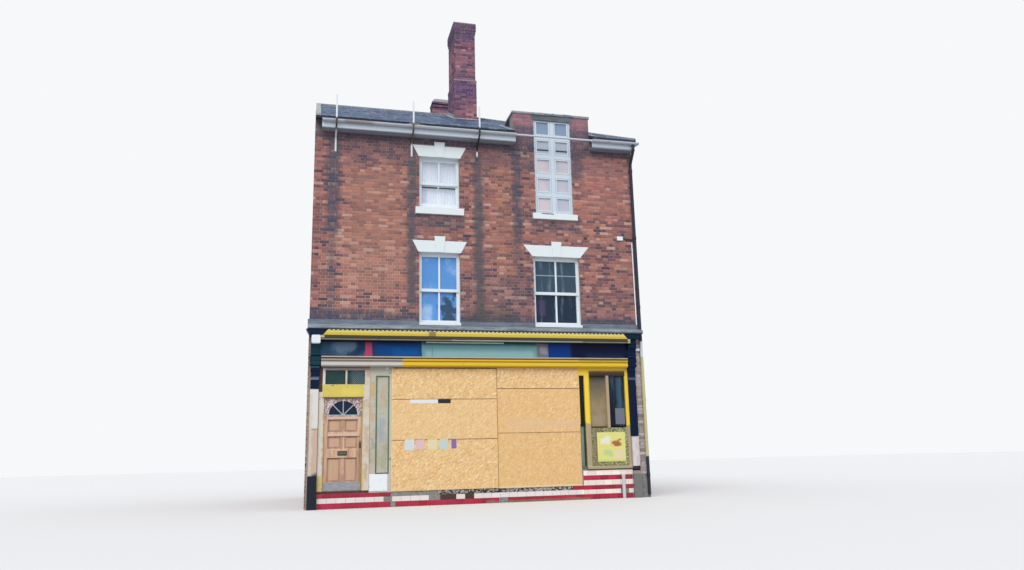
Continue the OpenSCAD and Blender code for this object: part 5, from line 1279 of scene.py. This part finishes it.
bm = bmesh.new()
bmesh.ops.create_cone(bm, cap_ends=True, segments=8, radius1=0.5, radius2=0.42, depth=1.0,
                      matrix=Matrix.Rotation(math.pi / 2, 4, "X"))
screw_head = template("screw head", bm)
screws, screw_r, screw_h, side_in, seam_in, board_face = [], 0.009, 0.002, 0.05, 0.06, -0.0592
for left, right, seams in ((1.85, 4.297, (0.33, 1.44, 2.35, 3.07)), (4.3, 6.32, (0.32, 1.56, 2.59, 3.08))):
    for foot, head in zip(seams, seams[1:]):
        for x in (left + side_in, (2 * left + right) / 3, (left + 2 * right) / 3, right - side_in):
            for z in (foot + seam_in, (foot + head) / 2, head - seam_in):
                spot = (x + random.gauss(0, 0.012), board_face, z + random.gauss(0, 0.012))
                screws.append((spot, (screw_r, screw_h, screw_r), (0, 0, 0), 0.5))
made, tree, where = new_material("screw zinc", metallic=0.6)
rusted = blended(tree, noise(tree, where, 60.0), 0.45, 0.6, (0.26, 0.22, 0.16), (0.20, 0.09, 0.04))
lay("board_screws", screw_head, screws, street_face, finished(made, rusted, 0.5))

low_row = (1.0, 1.5)
paper_marks = [((0.66, 0.72, 0.74), 2.1, 2.39, *low_row), ((0.74, 0.52, 0.56), 2.39, 2.64, *low_row),
               ((0.76, 0.70, 0.42), 2.64, 2.92, *low_row), ((0.55, 0.66, 0.62), 2.92, 3.18, *low_row),
               ((0.24, 0.16, 0.46), 3.18, 3.4, *low_row), ((0.03, 0.03, 0.035), 2.905, 3.3, 2.2, 2.4)]
paper = painted("notice paper", (0.80, 0.80, 0.80), (0.62, 0.46, 0.26), 0.16, 16.0,
                (0.58, 0.52, 0.44), 0.3, 0.8, paper_marks)
bm = bmesh.new()
paper_front, paper_back, paper_edge = -0.0605, -0.0588, 0.0004
for left, right, foot, head, crook in (
        (2.15, 2.36, 1.21, 1.45, 0.01), (2.41, 2.59, 1.235, 1.44, -0.03), (2.67, 2.89, 1.215, 1.445, 0.0),
        (2.94, 3.13, 1.22, 1.45, 0.015), (3.21, 3.325, 1.235, 1.45, -0.02), (2.27, 3.20, 2.255, 2.345, 0.0)):
    sheet = bmesh.new()
    across, up = (right - left) / 2, (head - foot) / 2
    bar(sheet, (-across, paper_front, -up), (across, paper_back, up), paper_edge, 1)
    middle = Matrix.Translation(((left + right) / 2, 0, (foot + head) / 2))
    sheet.transform(middle @ Matrix.Rotation(crook, 4, "Y"))
    held = bpy.data.meshes.new("notice")
    sheet.to_mesh(held)
    sheet.free()
    bm.from_mesh(held)
    bpy.data.meshes.remove(held)
bm.transform(street_face)
piece("paper_notices", bm, paper)


# Tiled base
# Glazed wall tiles in red and white courses on the brick plinths under the windows and the door,
# bedded on cement. Several have come off, and the bed is broken along the foot of the boards.

made, tree, where = new_material("tile bed", specular=0.2)
colour, rough = speckled(tree, where, (0.17, 0.165, 0.155), (0.36, 0.35, 0.32), 24.0, 8.0, 0.72)
chips = noise(tree, stretched(tree, where, (16, 16, 26)), 1.0, 5.0, 0.7)
broken = blended(tree, chips, 0.50, 0.54, (0.05, 0.032, 0.026), (0.46, 0.42, 0.38))
colour = patched(tree, colour, broken, 2.88, 6.15, 0.225, 0.345, 0.012, 0.05)
colour = patched(tree, colour, (0.085, 0.05, 0.045), 2.95, 3.8, 0.1, 0.235, 0.01, 0.02)
dress(finished(made, colour, 0.9, rough, 0.014), "tiled_base")
dress(cement, "ground_floor")

made, tree, where = new_material("wall tiles", specular=0.4)
tone = attribute(tree, "tone")
red = blended(tree, tone, 0.0, 0.4, (0.34, 0.008, 0.036), (0.51, 0.018, 0.062))
white = blended(tree, tone, 0.6, 1.0, (0.84, 0.74, 0.66), (0.99, 0.89, 0.81))
white = patched(tree, white, (0.74, 0.69, 0.70), 0.0, 6.3, -1.0, 1.0, 0.02, 0.0, 0.6)
colour = blended(tree, tone, 0.49, 0.51, red, white)
colour = dirtied(tree, colour, (0.34, 0.22, 0.20), 0.2, 9.0)
colour = patched(tree, colour, (0.24, 0.21, 0.12), 4.0, 6.5, -0.1, 0.05, 0.03, 0.12, 0.7)
tile_glaze = finished(made, colour, 0.25, noise(tree, where, 40.0), 0.0008)
tile_block = block_template("tile block", 0.03, 0.012)
tile_l, least_tile, tile_joint, tile_face, bed_face = 0.2, 0.02, 0.005, -0.041, -0.042


def tiles(left, right, low, high, red, row, *lost):
    """Places for one course of tiles, without those that have come off"""
    places = []
    start = left - (tile_l + tile_joint) / 2 * (row % 2)
    spans = courses(start, right, low, high, (), (tile_l,), high - low, 0, tile_joint)
    for x, z, length, height in spans:
        near = max(x - length / 2, left)
        far = x + length / 2
        if any(a < (near + far) / 2 < b for a, b in lost) or far - near < least_tile:
            continue
        tone = random.uniform(0.0, 0.4) if red else random.uniform(0.6, 1.0)
        proud = random.uniform(-0.0008, 0.0008)
        places.append((((near + far) / 2, tile_face + proud, z), (far - near, 1, height), (0, 0, 0), tone))
    return places


tile_places = []
for row, (low, high, red) in enumerate(((0.01, 0.115, True), (0.12, 0.22, False), (0.225, 0.315, True),
                                        (0.32, 0.435, False), (0.44, 0.54, True), (0.545, 0.655, False))):
    lost = [(7.30, 7.43)] if row < 2 else []
    tile_places += tiles(6.355, 7.60, low, high, red, row, *lost)
for course in ((6.10, 6.35, 0.225, 0.315, True, 1),
               (1.88, 6.352, 0.12, 0.225, False, 0, (2.95, 3.22), (3.42, 3.77), (2.78, 2.9)),
               (1.95, 6.352, 0.01, 0.115, True, 1, (4.4, 4.55)),
               (0.262, 1.845, 0.232, 0.318, True, 1),
               (0.262, 1.845, 0.122, 0.227, False, 0, (1.74, 1.9)),
               (0.262, 1.845, 0.01, 0.117, True, 1)):
    tile_places += tiles(*course)
lay("base_tiles", tile_block, tile_places, street_face, tile_glaze)

spots = []
for _ in range(64):
    x = random.uniform(2.92, 6.1)
    size = (random.uniform(0.012, 0.05), random.uniform(0.004, 0.009), random.uniform(0.008, 0.03))
    spots.append(((x, bed_face, random.uniform(0.245, 0.315)), size))
lumps("broken_bedding", spots, roof_mortar)


# Floors and fittings
# Boards on joists above the ground floor; an alarm box, a sensor, a wiring box with its conduit,
# a lamp and a capped vent pipe in white plastic.

made, tree, where = new_material("floor boards", specular=0.3)
wood = placed(tree, grain, {"Light": (0.42, 0.30, 0.19), "Dark": (0.25, 0.16, 0.09),
                            "Run": (2, 26, 26)})
dress(finished(made, wood["Color"], 0.8, wood["Height"], 0.001), "first_floor", "second_floor")
fitting_marks = [((0.05, 0.055, 0.08), 7.68, 7.955, 6.30, 6.45, 0.004),
                 ((0.60, 0.62, 0.64), 7.2, 7.5, 0.0, 0.6, 0.01),
                 ((0.35, 0.39, 0.42), 0.0, 0.3, 3.56, 3.60, 0.01, 0.0, 0.5)]
dress(painted("white plastic", (0.80, 0.85, 0.89), (0.5, 0.5, 0.5), 0.04, 12.0, (0.34, 0.35, 0.38),
              0.25, 0.4, fitting_marks), "wall_fittings")


# Stand and light
# A plain pale floor under an even sky, with one broad soft lamp from the upper left. The floor
# and the sky look brighter than the light they cast.

bm = bmesh.new()
bmesh.ops.create_grid(bm, x_segments=1, y_segments=1, size=120)
mesh = bpy.data.meshes.new("floor")
bm.to_mesh(mesh)
bm.free()
floor = in_scene("floor", mesh)


def seen_rays(tree):
    """1 for rays that reach the eye, straight or by a mirror or glass"""
    paths = tree.nodes.new("ShaderNodeLightPath").outputs
    through = maths(tree, "MAXIMUM", paths["Is Glossy Ray"], paths["Is Transmission Ray"])
    return maths(tree, "MAXIMUM", paths["Is Camera Ray"], through)


made, tree, _ = new_material("floor")
pale = mixed(tree, seen_rays(tree), (0.32, 0.32, 0.32), (0.70, 0.70, 0.70))
mesh.materials.append(finished(made, pale, 0.9))
floor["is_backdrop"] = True

sky = bpy.data.worlds.new("sky")
bpy.context.scene.world = sky
sky.use_nodes = True
tree = sky.node_tree
back = tree.nodes["Background"]
tree.links.new(mixed(tree, seen_rays(tree), (0.84, 0.86, 0.90), (0.93, 0.94, 0.95)), back.inputs["Color"])

lamp = bpy.data.lights.new("soft lamp", "SUN")
lamp.energy, lamp.angle = 1.75, math.radians(45)
to_lamp = Vector((-0.40, -0.85, 0.95))
in_scene("soft lamp", lamp).rotation_euler = to_lamp.to_track_quat("Z", "Y").to_euler()

bpy.context.scene.view_settings.view_transform = "Standard"
for made in templates:
    bpy.data.objects.remove(made)

low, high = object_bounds()
